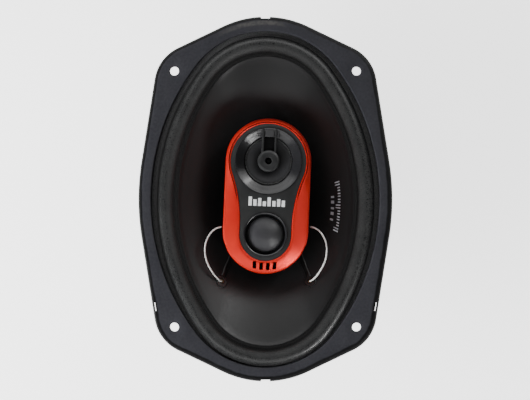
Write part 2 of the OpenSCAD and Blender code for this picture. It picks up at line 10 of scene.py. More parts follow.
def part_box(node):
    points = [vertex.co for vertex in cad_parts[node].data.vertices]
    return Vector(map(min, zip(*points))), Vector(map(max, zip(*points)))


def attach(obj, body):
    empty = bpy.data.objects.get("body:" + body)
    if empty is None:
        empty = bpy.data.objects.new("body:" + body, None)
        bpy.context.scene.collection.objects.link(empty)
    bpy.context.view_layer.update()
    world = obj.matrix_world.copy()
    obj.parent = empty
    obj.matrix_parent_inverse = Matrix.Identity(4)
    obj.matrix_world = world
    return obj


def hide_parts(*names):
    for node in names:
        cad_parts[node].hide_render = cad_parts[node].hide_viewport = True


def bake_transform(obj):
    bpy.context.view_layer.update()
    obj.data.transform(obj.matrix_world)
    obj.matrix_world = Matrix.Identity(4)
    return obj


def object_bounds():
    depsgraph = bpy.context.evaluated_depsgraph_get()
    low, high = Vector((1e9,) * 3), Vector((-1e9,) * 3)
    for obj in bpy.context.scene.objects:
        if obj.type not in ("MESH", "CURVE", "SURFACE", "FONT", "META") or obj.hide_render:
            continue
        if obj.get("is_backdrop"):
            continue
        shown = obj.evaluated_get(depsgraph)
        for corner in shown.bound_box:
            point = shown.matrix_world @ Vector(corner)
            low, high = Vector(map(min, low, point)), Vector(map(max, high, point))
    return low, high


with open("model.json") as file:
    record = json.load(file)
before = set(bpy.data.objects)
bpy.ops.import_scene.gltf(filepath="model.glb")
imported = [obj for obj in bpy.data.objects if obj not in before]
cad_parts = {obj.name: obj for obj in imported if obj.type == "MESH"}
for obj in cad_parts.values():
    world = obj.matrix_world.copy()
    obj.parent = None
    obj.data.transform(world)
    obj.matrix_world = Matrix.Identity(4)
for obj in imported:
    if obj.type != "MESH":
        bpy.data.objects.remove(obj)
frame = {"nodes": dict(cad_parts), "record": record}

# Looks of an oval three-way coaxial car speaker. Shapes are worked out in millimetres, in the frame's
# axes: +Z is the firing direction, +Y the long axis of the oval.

cad_low, cad_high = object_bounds()

MM = 0.001
TAU = 2 * math.pi
RECORD = frame["record"]
BODY = {n: b for b, nodes in RECORD["behaviour"]["bodies"].items() for n in nodes}
SLOT = {p["node"]: p["material_slot"] for p in RECORD["subparts"]}


def top_of(node):
    """Height of a CAD node's highest point, in millimetres."""
    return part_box(node)[1][2] / MM


def foot_of(node):
    """Height of a CAD node's lowest point, in millimetres."""
    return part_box(node)[0][2] / MM


# ---------------------------------------------------------------- driving dimensions, millimetres

FLANGE_L, FLANGE_W = 118.5, 82.5          # half length and half width of the flange
END_R, SIDE_R, EAR_R = 64.0, 156.0, 27.0  # radii of its end, side and ear arcs
FLANK_TURN, SIDE_TURN = 64.4, 9.1         # normals of its straight flanks, degrees
FACE_Z = top_of("trim_ring")
TRIM_OVAL = (74.0, 109.0, 56.0)           # half width, half length, radius of the end arcs
OVAL = (74.3, 111.0, 57.0)                # the woofer's own oval, from which insets are measured
AXIS = np.array([0.3, -1.3])              # the woofer's axis
HOLE_X, HOLE_Y, HOLE_R = 59.0, 83.0, 2.9  # panel bolt holes
BOLT_HOLES = [(x * HOLE_X, y * HOLE_Y) for x in (-1, 1) for y in (-1, 1)]
CLIP_X, CLIP_Y = 71.45, -69.8             # slots through the flange's lower flanks

ROLL_INSET, ROLL_W, ROLL_H = 3.7, 10.8, 4.6         # the surround's roll: where it starts, width, height
LIP_Z, LIP_T = 1.05, 0.7                            # underside and thickness of the surround's lip
CONE_RIM_INSET, CONE_EDGE_INSET = 14.7, 16.9        # outer edge of the cone's rim, and where it turns down
CONE_LIFT, CONE_EDGE_Z, CONE_DEPTH, CONE_FLARE = 0.75, -0.2, 32.0, 0.12
CONE_T, NECK_R = 0.8, 13.1                          # thickness of the pulp, radius of the neck
EYELETS = ((212.5, 0.29), (327.5, 0.29))  # arc angle and share of the way to the neck

# The basket: the spider's ledge, the cup below it, its base, and its bowl
LEDGE_Z, LEDGE_R, CUP_R, BASE_Z, SHEET_T = -38.0, 53.5, 46.0, -52.0, 1.2
BOWL_INSET, BOWL_T = 6.0, 1.1

POD_AT, POD_TURN = np.array([1.0, 1.9]), -2.5       # the pod's centre, and its turn in degrees
POD_R, POD_SPAN = 27.6, 45.0                        # its end radius, and the distance between its end centres
POD_REAR, POD_FRONT = foot_of("pod_shell"), top_of("pod_shell")
MID_Y, TWEETER_Y = 22.6, -24.6                      # drivers, on the pod's long axis
PEAR = dict(y=22.2, r=24.3, small_y=-25.0, small_r=16.6, waist_r=90.0)
PAD_AT, PAD_TILT = (0.3, -81.3, -23.4), 150.4       # the terminal pad on the bowl, and its tilt in degrees

# Routes of the right-hand leads, measured from the woofer's axis
FRONT_ROUTE = [(29, -16.8, 0), (31.5, -17.4, 0.6), (34.6, -19.4, 1.3), (37.2, -22.8, 1.8),
               (39, -27, 2), (39.6, -31.6, 1.7), (39.1, -36.6, 1), (37.5, -41.4, -0.1),
               (35.2, -45.8, -1.8), (32.8, -49.2, -3.8), (30.8, -51.4, -5.5)]
REAR_ROUTE = [(10.2, -82.2, -27.3), (13, -82.2, -27.8), (16, -81, -28), (19, -78.8, -27.2),
              (21.6, -75.6, -25.2), (23.6, -71.4, -22.4), (25.3, -66.8, -19.4), (26.9, -62, -16.2),
              (28.2, -57.4, -12.9), (29, -54.4, -10.1)]
LEAD_R = 0.6


# ---------------------------------------------------------------- outlines

def arc(cx, cy, r, start, end, n):
    """Points of an arc from start to end, in degrees, both ends included."""
    t = np.radians(np.linspace(start, end, n + 1))
    return np.column_stack([cx + r * np.cos(t), cy + r * np.sin(t)])


def side_radius(oval):
    """Radius of the long sides of a four-centre oval, from its half sizes and end radius."""
    a, b, r = oval
    return (a * a + b * b - 2 * b * r) / (2 * (a - r))


def oval_turns(oval, cells):
    """Normal angles round a four-centre oval, in degrees."""
    a, b, r = oval
    c = math.degrees(math.atan2(b - r, side_radius(oval) - a))
    side = -c + 2 * c * np.arange(cells) / cells
    end = c + (180 - 2 * c) * np.arange(cells) / cells
    return np.concatenate([side, end, side + 180, end + 180])


def oval_points(oval, turns, inset):
    """Points of a four-centre oval moved inwards by inset, one for each normal angle."""
    a, b, r = oval
    rs = side_radius(oval)
    c = math.atan2(b - r, rs - a)
    t = np.radians(np.atleast_1d(turns).astype(float))
    cos, sin = np.cos(t), np.sin(t)
    on_side = np.abs(cos) > math.cos(c) - 1e-6
    radius = np.where(on_side, rs, r) - inset
    x = np.where(on_side, -np.sign(cos) * (rs - a), 0.0) + radius * cos
    y = np.where(on_side, 0.0, np.sign(sin) * (b - r)) + radius * sin
    return np.column_stack([x, y])


CELLS = 44
TURNS = oval_turns(OVAL, CELLS)


def oval_ring(inset, z, turns=TURNS):
    """Ring of the woofer's oval, on the woofer's axis."""
    return lifted(oval_points(OVAL, turns, inset) + AXIS, z)


def mixed_ring(inset, r, share, z, turns=TURNS):
    """Ring between the oval and a circle on the woofer's axis: share 0 is the oval."""
    t = np.radians(turns)
    circle = r * np.column_stack([np.cos(t), np.sin(t)])
    return lifted(oval_points(OVAL, turns, inset) * (1 - share) + circle * share + AXIS, z)


def trim_ring_points(inset, z):
    return lifted(oval_points(TRIM_OVAL, oval_turns(TRIM_OVAL, CELLS), inset), z)


def lifted(points, z):
    """Plan points set at height z."""
    return np.column_stack([points, np.full(len(points), float(z))])


def spun(points, angle):
    """Points turned about Z, angle in radians."""
    points = np.asarray(points, float)
    c, s = math.cos(angle), math.sin(angle)
    return np.column_stack([points[:, :2] @ np.array([[c, s], [-s, c]]), points[:, 2]])


def ear_centre():
    """Centre of the ear arc that meets the flank and the side smoothly."""
    n1 = (math.cos(math.radians(FLANK_TURN)), math.sin(math.radians(FLANK_TURN)))
    n2 = (math.cos(math.radians(SIDE_TURN)), math.sin(math.radians(SIDE_TURN)))
    b = [n1[1] * (FLANGE_L - END_R) + END_R - EAR_R, n2[0] * (FLANGE_W - SIDE_R) + SIDE_R - EAR_R]
    return np.linalg.solve(np.array([n1, n2]), b)


def flange_outline(inset):
    """The flange's outline, counter-clockwise, moved inwards by inset."""
    ear = ear_centre()
    quarter = np.vstack([
        arc(FLANGE_W - SIDE_R, 0, SIDE_R - inset, 0, SIDE_TURN, 8),
        arc(ear[0], ear[1], EAR_R - inset, SIDE_TURN, FLANK_TURN, 20),
        arc(0, FLANGE_L - END_R, END_R - inset, FLANK_TURN, 90, 14)])
    half = np.vstack([quarter, (quarter * [-1, 1])[::-1][1:]])
    return np.vstack([half, (half * [1, -1])[::-1][1:-1]])


def pear_outline(grow):
    """The face plate's pear outline about the pod's centre, moved outwards by grow."""
    p = PEAR
    wx = p["small_r"] + p["waist_r"]
    wy = p["y"] - math.sqrt((p["waist_r"] + p["r"]) ** 2 - wx * wx)
    lean = math.degrees(math.atan2(p["y"] - wy, wx))
    r = p["waist_r"] - grow
    parts = [arc(0, p["y"], p["r"] + grow, -lean, 180 + lean, 70),
             arc(-wx, wy, r, lean, 0, 18),
             arc(0, p["small_y"], p["small_r"] + grow, 180, 360, 54),
             arc(wx, wy, r, 180, 180 - lean, 18)]
    points = np.vstack(parts)
    gap = np.linalg.norm(points - np.roll(points, 1, axis=0), axis=1)
    return points[gap > 1e-6]


def stadium_hit(direction, r):
    """Where a ray from the pod's centre meets its outline of end radius r."""
    dx, dy = direction
    half = POD_SPAN / 2
    if abs(dx) > 1e-9:
        reach = r / abs(dx)
        if abs(dy) * reach <= half:
            return np.array([dx * reach, dy * reach])
    c = np.array([0, math.copysign(half, dy)])
    along = c @ direction
    reach = along + math.sqrt(along ** 2 - c @ c + r * r)
    return np.array([dx * reach, dy * reach])


def in_pod(points):
    """Moves pod points, in the pod's own axes, to their place in the frame."""
    return spun(points, math.radians(POD_TURN)) + [*POD_AT, 0]


def pod_centre(y):
    return in_pod([(0, y, 0)])[0][:2]


# ---------------------------------------------------------------- meshes

def make(name, verts, faces, material, sharp=32.0, weld=True):
    """A shaded mesh object from points in millimetres."""
    mesh = bpy.data.meshes.new(name)
    mesh.from_pydata([tuple(v) for v in np.asarray(verts, float) * MM], [], [list(f) for f in faces])
    bm = bmesh.new()
    bm.from_mesh(mesh)
    if weld:
        bmesh.ops.remove_doubles(bm, verts=bm.verts, dist=1e-6)
    bmesh.ops.dissolve_degenerate(bm, dist=1e-7, edges=bm.edges)
    bmesh.ops.recalc_face_normals(bm, faces=bm.faces)
    bm.to_mesh(mesh)
    bm.free()
    mesh.materials.append(material)
    mesh.shade_smooth()
    if sharp < 180:
        mesh.set_sharp_from_angle(angle=math.radians(sharp))
    obj = bpy.data.objects.new(name, mesh)
    bpy.context.scene.collection.objects.link(obj)
    return obj


def skin(rings, wrap=False):
    """Faces through a list of rings of equal length; wrap joins the last ring to the first."""
    n, m = len(rings[0]), len(rings)
    faces = []
    for j in range(m if wrap else m - 1):
        q = (j + 1) % m
        for i in range(n):
            k = (i + 1) % n
            faces.append((j * n + i, j * n + k, q * n + k, q * n + i))
    return faces


def end_caps(rings):
    """Faces that close the first and the last ring."""
    n, m = len(rings[0]), len(rings)
    return [tuple(range(n)), tuple((m - 1) * n + i for i in range(n))]


def from_rings(name, rings, material, wrap=False, caps=False, sharp=32.0, weld=True):
    """A mesh through rings of equal length, closed by wrapping round or by two end caps."""
    faces = skin(rings, wrap) + (end_caps(rings) if caps else [])
    return make(name, np.vstack(rings), faces, material, sharp, weld)


def circle(cx, cy, r, n):
    t = TAU * np.arange(n) / n
    return np.column_stack([cx + r * np.cos(t), cy + r * np.sin(t)])


def rounded(profile, r, steps=4):
    """A closed profile of (radius, height) with its corners rounded to radius r, where they have room."""
    pts = [np.array(p, float) for p in profile]
    out = []
    for i, p in enumerate(pts):
        a, b = pts[i - 1] - p, pts[(i + 1) % len(pts)] - p
        la, lb = np.linalg.norm(a), np.linalg.norm(b)
        back = min(r, la * 0.45, lb * 0.45)
        a, b = a / la, b / lb
        if back < 1e-4 or abs(a @ b) > 0.995:
            out.append(p)
            continue
        for s in np.linspace(0, 1, steps + 1):
            out.append((1 - s) ** 2 * (p + a * back) + 2 * s * (1 - s) * p + s * s * (p + b * back))
    return out


def lathe_rings(profile, centre=AXIS, steps=128):
    """A circle about centre for each (radius, height) of a profile."""
    return [lifted(circle(centre[0], centre[1], max(r, 1e-3), steps), z) for r, z in profile]


def lathe(name, profile, material, centre=AXIS, steps=128, fillet=0.15, sharp=40.0):
    """A turned solid from a closed profile, with its corners rounded."""
    rings = lathe_rings(rounded(profile, fillet), centre, steps)
    return from_rings(name, rings, material, wrap=True, sharp=sharp)


def inside(points, loop):
    """Which points lie inside a closed loop."""
    x, y = points[:, 0, None], points[:, 1, None]
    a, b = np.asarray(loop), np.roll(loop, -1, axis=0)
    crosses = (a[:, 1] > y) != (b[:, 1] > y)
    rise = np.where(crosses, b[:, 1] - a[:, 1], 1.0)
    return (np.sum(crosses & (x < a[:, 0] + (y - a[:, 1]) * (b[:, 0] - a[:, 0]) / rise), axis=1) % 2) == 1


def flat(outer, holes, z):
    """Triangles that fill an outline with holes at one height, as (points, faces)."""
    points, edges = [], []
    for loop in [outer] + list(holes):
        base, n = len(points), len(loop)
        points += [Vector((p[0], p[1])) for p in loop]
        edges += [(base + i, base + (i + 1) % n) for i in range(n)]
    found, _, tris, _, _, _ = geometry.delaunay_2d_cdt(points, edges, [], 1, 1e-7)
    at = np.array([(p.x, p.y) for p in found])
    middles = at[np.array([list(t) for t in tris])].mean(axis=1)
    keep = inside(middles, outer)
    for hole in holes:
        keep &= ~inside(middles, hole)
    return lifted(at, z), [tuple(t) for t, k in zip(tris, keep) if k]


class Shell:
    """Gathers rings and flats into one mesh."""

    def __init__(self):
        self.verts, self.faces = [], []

    def add(self, verts, faces):
        base = len(self.verts)
        self.verts += [tuple(v) for v in verts]
        self.faces += [tuple(base + i for i in f) for f in faces]

    def rings(self, rings, wrap=False, caps=False):
        self.add(np.vstack(rings), skin(rings, wrap) + (end_caps(rings) if caps else []))

    def box(self, low, high, turn=None, bevel=0.0):
        """A box with bevelled edges: an octagonal stack."""
        (x0, y0, z0), (x1, y1, z1) = low, high
        b = bevel

        def outline(d, z):
            left, right, front, back = x0 + d, x1 - d, y0 + d, y1 - d
            return lifted([(left + b, front), (right - b, front), (right, front + b), (right, back - b),
                           (right - b, back), (left + b, back), (left, back - b), (left, front + b)], z)

        rings = [outline(b, z0), outline(0, z0 + b), outline(0, z1 - b), outline(b, z1)]
        if turn is not None:
            rings = [turn(r) for r in rings]
        self.rings(rings, caps=True)

    def done(self, name, material, sharp=32.0):
        return make(name, self.verts, self.faces, material, sharp)


def cut(obj, cutters, sharp):
    """Subtracts cutter objects from obj and removes them. obj may not pass through itself."""
    for cutter in cutters:
        mod = obj.modifiers.new("cut", "BOOLEAN")
        mod.operation = "DIFFERENCE"
        mod.solver = "EXACT"
        mod.object = cutter
    apply_modifiers(obj)
    reshade(obj, sharp)
    for cutter in cutters:
        bpy.data.objects.remove(cutter)


def apply_modifiers(obj):
    """Replaces obj's mesh by the one that its modifiers make."""
    bpy.context.view_layer.update()
    depsgraph = bpy.context.evaluated_depsgraph_get()
    mesh = bpy.data.meshes.new_from_object(obj.evaluated_get(depsgraph))
    obj.modifiers.clear()
    obj.data = mesh


def reshade(obj, sharp):
    """Smooth shading with sharp edges above an angle in degrees."""
    obj.data.shade_smooth()
    obj.data.set_sharp_from_angle(angle=math.radians(sharp))


def paint(obj, name, values):
    """Stores one number per vertex for the materials to read."""
    numbers = obj.data.attributes.new(name, "FLOAT", "POINT")
    numbers.data.foreach_set("value", np.asarray(values, np.float32))


def vertices(obj):
    """The mesh's points, in millimetres."""
    numbers = np.empty(len(obj.data.vertices) * 3)
    obj.data.vertices.foreach_get("co", numbers)
    return numbers.reshape(-1, 3) / MM


def edge_distance(points, loop):
    """Distance in plan from each point to a closed outline."""
    a, b = np.asarray(loop), np.roll(loop, -1, axis=0)
    run = b - a
    t = np.einsum("pij,ij->pi", points[:, None, :2] - a, run) / np.sum(run * run, axis=1)
    near = a + np.clip(t, 0, 1)[..., None] * run
    return np.linalg.norm(points[:, None, :2] - near, axis=2).min(axis=1)


def stand_in(obj, *nodes):
    """obj is shown in place of CAD nodes, on the first node's body."""
    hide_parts(*nodes)
    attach(obj, BODY[nodes[0]])
    return obj


def stretch(obj, body, weights, *nodes):
    """obj replaces nodes, which are hidden, and its transform is baked into its mesh. body and weights are not
    used.
    """
    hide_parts(*nodes)
    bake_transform(obj)
    return obj


def ride_on(obj, body):
    """obj is an added mark without a CAD node of its own."""
    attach(obj, body)


def turned_part(name, node, profile, **how):
    """A turned solid with rounded corners, shown in place of a CAD node."""
    stand_in(lathe(name, profile, look_of(node), **how), node)


def ring_part(name, node, profile, centre=AXIS, steps=96, sharp=60):
    """A turned solid whose profile is used as it stands, shown in place of a CAD node."""
    rings = lathe_rings(profile, centre, steps)
    stand_in(from_rings(name, rings, look_of(node), wrap=True, sharp=sharp), node)


def soft_ring(name, node, body, profile, held, material, centre=AXIS, steps=96):
    """A turned flexible piece shown in place of a CAD node; its weights, from the radii held, are passed to
    stretch, which does not use them.
    """
    rings = lathe_rings(profile, centre, steps)
    obj = from_rings(name, rings, material, wrap=True, sharp=60, weld=False)
    inner, outer = held
    weights = [1 - min(max((r - inner) / (outer - inner), 0), 1) for r, _ in profile]
    stretch(obj, body, np.repeat(weights, steps), node)


# ---------------------------------------------------------------- materials

class Look:
    """A node material about one Principled shader, with helpers for procedural detail."""

    def __init__(self, name, rough=0.5, metallic=0.0, specular=0.5, **sockets):
        self.material = bpy.data.materials.new(name)
        self.material.use_nodes = True
        self.tree = self.material.node_tree
        self.shader = self.tree.nodes["Principled BSDF"]
        self.shader.inputs["Roughness"].default_value = rough
        self.shader.inputs["Metallic"].default_value = metallic
        self.shader.inputs["Specular IOR Level"].default_value = specular
        for socket, value in sockets.items():
            self.shader.inputs[socket.replace("_", " ")].default_value = value
        self.coords = self.tree.nodes.new("ShaderNodeTexCoord").outputs["Object"]
        self.normal = None

    def node(self, kind, **inputs):
        n = self.tree.nodes.new(kind)
        for key, value in inputs.items():
            socket = n.inputs[key.replace("_", " ")]
            if isinstance(value, bpy.types.NodeSocket):
                self.tree.links.new(value, socket)
            else:
                socket.default_value = value
        return n

    def link(self, a, b):
        self.tree.links.new(a, b)

    def noise(self, size, detail=4.0, rough=0.5):
        """Noise with features of about size millimetres."""
        return self.node("ShaderNodeTexNoise", Vector=self.coords, Scale=1 / (size * MM), Detail=detail,
                         Roughness=rough).outputs["Fac"]

    def lined(self, along, detail=2.0):
        """Noise that changes with one number only, for turned rings and spokes."""
        n = self.tree.nodes.new("ShaderNodeTexNoise")
        n.noise_dimensions = "1D"
        self.link(along, n.inputs["W"])
        n.inputs["Detail"].default_value = detail
        return n.outputs["Fac"]

    def ramp(self, fac, low, high, a=0.35, b=0.65):
        """Colour from low to high as fac goes from a to b."""
        n = self.node("ShaderNodeValToRGB", Fac=fac)
        n.color_ramp.elements[0].position = a
        n.color_ramp.elements[1].position = b
        n.color_ramp.elements[0].color = (*low, 1)
        n.color_ramp.elements[1].color = (*high, 1)
        return n.outputs["Color"]

    def span(self, value, a, b, low, high):
        """Maps value from a..b to low..high, easing in and out."""
        n = self.node("ShaderNodeMapRange", Value=value, From_Min=a, From_Max=b, To_Min=low, To_Max=high)
        n.interpolation_type = "SMOOTHSTEP"
        return n.outputs["Result"]

    def between(self, value, a, b, c, d):
        """1 from b to c, easing to 0 at a and at d."""
        return self.math("MULTIPLY", self.span(value, a, b, 0, 1), self.span(value, c, d, 1, 0))

    def math(self, kind, a, b=0.0):
        n = self.tree.nodes.new("ShaderNodeMath")
        n.operation = kind
        for i, value in enumerate((a, b)):
            if isinstance(value, bpy.types.NodeSocket):
                self.link(value, n.inputs[i])
            else:
                n.inputs[i].default_value = value
        return n.outputs[0]

    def blended(self, a, b, share):
        """The sum of share of a and the rest of b."""
        return self.math("ADD", self.math("MULTIPLY", a, share), self.math("MULTIPLY", b, 1 - share))

    def mix(self, fac, a, b):
        """Colour a to colour b by fac."""
        n = self.tree.nodes.new("ShaderNodeMix")
        n.data_type = "RGBA"
        self.link(fac, n.inputs["Factor"])
        for socket, value in ((n.inputs[6], a), (n.inputs[7], b)):
            if isinstance(value, bpy.types.NodeSocket):
                self.link(value, socket)
            else:
                socket.default_value = (*value, 1)
        return n.outputs[2]

    def color(self, socket):
        self.link(socket, self.shader.inputs["Base Color"])
        return self

    def roughness(self, socket):
        self.link(socket, self.shader.inputs["Roughness"])
        return self

    def uneven(self, noise, low, high):
        """Roughness that wanders from low to high with a noise."""
        return self.roughness(self.span(noise, 0.3, 0.7, low, high))

    def bump(self, height, depth):
        """Adds relief of depth millimetres on top of what is there."""
        n = self.node("ShaderNodeBump", Height=height, Distance=depth * MM, Strength=1.0)
        if self.normal is not None:
            self.link(self.normal, n.inputs["Normal"])
        self.normal = n.outputs["Normal"]
        self.link(self.normal, self.shader.inputs["Normal"])
        return self

    def painted(self, name):
        """A number stored on the mesh."""
        n = self.tree.nodes.new("ShaderNodeAttribute")
        n.attribute_name = name
        return n.outputs["Fac"]

    def position(self):
        """X, Y and Z of the surface point, in metres."""
        return self.node("ShaderNodeSeparateXYZ", Vector=self.coords).outputs

    def bearing(self, point):
        """Angle round a point in millimetres, in radians."""
        at = self.position()
        return self.math("ARCTAN2", self.math("SUBTRACT", at["Y"], point[1] * MM),
                         self.math("SUBTRACT", at["X"], point[0] * MM))

    def distance(self, point):
        """Distance to a point in millimetres, measured along X and Y."""
        flat_point = self.node("ShaderNodeVectorMath", Vector=self.coords)
        flat_point.operation = "MULTIPLY"
        flat_point.inputs[1].default_value = (1, 1, 0)
        n = self.tree.nodes.new("ShaderNodeVectorMath")
        n.operation = "DISTANCE"
        self.link(flat_point.outputs["Vector"], n.inputs[0])
        n.inputs[1].default_value = (point[0] * MM, point[1] * MM, 0)
        return n.outputs["Value"]


def grained(name, low, high, grain, depth, rough, mottle=12.0, **sockets):
    """Moulded or coated surface: slow colour variation, and a fine grain in relief and gloss."""
    look = Look(name, rough=sum(rough) / 2, **sockets)
    slow = look.noise(mottle, detail=3)
    fine = look.noise(grain, detail=2)
    look.color(look.ramp(look.blended(slow, fine, 0.7), low, high))
    look.uneven(slow, *rough)
    look.bump(fine, depth)
    return look.material


def metal(name, low, high, rough, spin=None):
    """Plated or turned metal; spin is the centre of its lathe marks."""
    look = Look(name, rough=sum(rough) / 2, metallic=1.0)
    mark, depth = 0.25, 0.004
    slow = look.noise(9.0, detail=5)
    look.color(look.ramp(slow, low, high))
    look.uneven(slow, *rough)
    if spin is None:
        look.bump(look.noise(mark, detail=3), depth)
    else:
        rings = look.math("MULTIPLY", look.distance(spin), 1 / (mark * MM))
        z = look.math("MULTIPLY", look.position()["Z"], 1 / (mark * MM))
        look.bump(look.lined(look.math("ADD", rings, z), detail=3), depth)
    return look.material


def trim_look():
    """Slate-grey moulded face; the rounded rim is near-black, partly its own darker edge and partly painted
    shade, and a lighter streak near one end is partly a rub mark and partly a painted highlight.
    """
    look = Look("trim_plastic", rough=0.5, specular=0.2)
    fine = look.noise(0.35, detail=2)
    slow = look.noise(22.0, detail=4)
    speck = look.blended(look.noise(1.6, detail=2), slow, 0.55)
    face = look.ramp(speck, (0.029, 0.029, 0.035), (0.040, 0.040, 0.047))
    # Painted shade: the rim's rounding goes near-black in a band that is partly the moulding's darker edge and
    # partly shade.
    wander = look.span(look.noise(7.0, detail=3), 0.3, 0.7, -0.03, 0.03)
    edge = look.span(look.math("ADD", look.painted("rim"), wander), 0.44, 0.6, 0.0, 1.0)
    # A lighter streak along the top end's arc: partly a rub mark, partly a painted highlight.
    arc_r = look.distance((0, TRIM_OVAL[1] - TRIM_OVAL[2]))
    band = look.between(arc_r, 0.0592, 0.0606, 0.0618, 0.0632)
    reach = look.between(look.position()["X"], -0.036, -0.012, 0.004, 0.016)
    streak = look.math("MULTIPLY", look.math("MULTIPLY", band, reach),
                       look.span(look.noise(2.5, detail=5), 0.3, 0.6, 0.35, 1.0))
    streak = look.math("MULTIPLY", streak, look.span(look.position()["Y"], 0.05, 0.06, 0, 1))
    rub_and_highlight = look.mix(streak, face, (0.085, 0.082, 0.080))
    look.color(look.mix(edge, rub_and_highlight, (0.003, 0.003, 0.0035)))
    look.uneven(slow, 0.46, 0.56)
    look.bump(fine, 0.02)
    return look.material


def roll_look():
    """Finely grained black foam rubber that sparkles where the light catches it, with painted light on its
    recessed lip and painted shade in the groove by the cone and on the lip's left side.
    """
    look = Look("surround_rubber", rough=0.36, specular=0.5)
    grain = look.noise(0.75, detail=2, rough=0.6)
    cells = look.node("ShaderNodeTexVoronoi", Vector=look.coords, Scale=1 / (0.9 * MM)).outputs["Distance"]
    slow = look.noise(14.0, detail=3)
    speck = look.blended(grain, slow, 0.6)
    skin_color = look.ramp(speck, (0.008, 0.0084, 0.0086), (0.026, 0.0265, 0.0265), 0.36, 0.64)
    # Painted light: the lip, recessed under the trim's edge, is lightened.
    outer = look.mix(look.painted("lip"), skin_color, (0.042, 0.042, 0.043))
    # Painted shade: near-black in the groove where the roll meets the cone, and a painted shadow of the trim's
    # edge on the lip's left side.
    look.color(look.mix(look.painted("roll_shade"), outer, (0.003, 0.003, 0.003)))
    sparkle = look.noise(0.55, detail=1)
    gloss = look.span(sparkle, 0.38, 0.64, 0.56, 0.24)
    matt = look.math("ADD", look.math("MULTIPLY", look.painted("slack"), 0.24),
                     look.math("MULTIPLY", look.painted("roll_shade"), 0.3))
    look.roughness(look.math("ADD", gloss, matt))
    look.bump(grain, 0.06).bump(cells, 0.02)
    return look.material


def cone_look():
    """Smooth coated pulp: a soft gloss over faint fibre mottling."""
    look = Look("cone_paper", rough=0.42, specular=0.45)
    fibre = look.noise(1.6, detail=6, rough=0.65)
    slow = look.noise(26.0, detail=3)
    look.color(look.ramp(look.blended(slow, fibre, 0.6), (0.0030, 0.0030, 0.0033), (0.0052, 0.0052, 0.0056)))
    neck = look.span(look.distance(POD_AT), 0.048, 0.07, 0.1, 0.0)
    look.roughness(look.math("ADD", look.span(fibre, 0.3, 0.7, 0.38, 0.47), neck))
    look.bump(fibre, 0.012)
    return look.material


def red_look():
    """Satin red-orange lacquer with a fine flake; painted shade darkens it to near-black low on the wall and in
    the groove round the face plate's wide end.
    """
    look = Look("pod_red", rough=0.42, metallic=0.58, specular=0.5)
    slow = look.noise(16.0, detail=2)
    flake = look.noise(0.5, detail=2)
    lacquer = look.ramp(slow, (0.72, 0.018, 0.009), (0.80, 0.026, 0.012))
    # Painted shade: the lacquer goes to near-black low on the wall, where the cone shades it, and in the groove
    # round the face plate's wide end.
    low = look.span(look.position()["Z"], 0.0005, 0.0082, 1.0, 0.0)
    lacquer_shade = look.math("MAXIMUM", low, look.painted("groove"))
    look.color(look.mix(lacquer_shade, lacquer, (0.020, 0.004, 0.004)))
    look.roughness(look.span(flake, 0.35, 0.7, 0.38, 0.5))
    look.bump(flake, 0.02)
    return look.material


def spider_look():
    """Resin-treated corrugated cotton, with its weave."""
    look = Look("spider_cloth", rough=0.85, specular=0.2, Sheen_Weight=0.3)
    waves = []
    for turn in (0.785, -0.785):
        turned = look.node("ShaderNodeMapping", Vector=look.coords)
        turned.inputs["Rotation"].default_value = (0, 0, turn)
        waves.append(look.node("ShaderNodeTexWave", Vector=turned.outputs["Vector"], Scale=1 / (2.6 * MM),
                               Distortion=1.2).outputs["Fac"])
    weave = look.math("MULTIPLY", waves[0], waves[1])
    look.color(look.ramp(look.blended(weave, look.noise(8.0), 0.5),
                         (0.36, 0.22, 0.07), (0.62, 0.44, 0.18), 0.2, 0.7))
    look.bump(weave, 0.12)
    return look.material


def tinsel_look():
    """Bright tinned braid."""
    look = Look("tinsel", rough=0.4, metallic=0.35)
    slow = look.noise(2.0, detail=4)
    look.color(look.ramp(slow, (0.80, 0.79, 0.76), (0.95, 0.94, 0.91)))
    look.uneven(slow, 0.26, 0.42)
    look.bump(look.noise(0.12, detail=2), 0.02)
    return look.material


def bridge_look():
    """Charcoal moulding, paler where the bridge lands on the ring."""
    look = Look("bridge_plastic", rough=0.4, specular=0.45)
    slow = look.noise(5.0, detail=3)
    base = look.ramp(slow, (0.019, 0.0195, 0.020), (0.027, 0.0275, 0.028))
    look.color(look.mix(look.painted("pale"), base, (0.050, 0.050, 0.052)))
    look.uneven(slow, 0.28, 0.38)
    look.bump(look.noise(0.4, detail=2), 0.004)
    return look.material


def gloss_look():
    """Semi-gloss moulding with faint radial streaks and turned rings about its own centre."""
    look = Look("driver_gloss", rough=0.28, specular=0.45)
    streak = look.lined(look.math("MULTIPLY", look.bearing(pod_centre(MID_Y)), 9.0), detail=4)
    look.color(look.ramp(streak, (0.0145, 0.0145, 0.016), (0.0185, 0.0185, 0.0205)))
    look.roughness(look.span(streak, 0.35, 0.65, 0.15, 0.21))
    turned = look.lined(look.math("MULTIPLY", look.distance(pod_centre(MID_Y)), 1 / (0.7 * MM)))
    look.bump(turned, 0.03)
    return look.material


def mid_paper_look():
    """Matt pulp, with painted shade that darkens it towards the bridge's boss."""
    look = Look("mid_paper", rough=0.6, specular=0.35)
    fibre = look.noise(0.7, detail=4)
    paper = look.ramp(fibre, (0.012, 0.012, 0.0135), (0.019, 0.019, 0.021))
    # Painted shade round the boss.
    boss_shade = look.span(look.distance(pod_centre(MID_Y)), 0.0066, 0.0112, 1.0, 0.0)
    look.color(look.mix(boss_shade, paper, (0.0025, 0.0025, 0.003)))
    look.uneven(fibre, 0.55, 0.66)
    look.bump(fibre, 0.03)
    return look.material


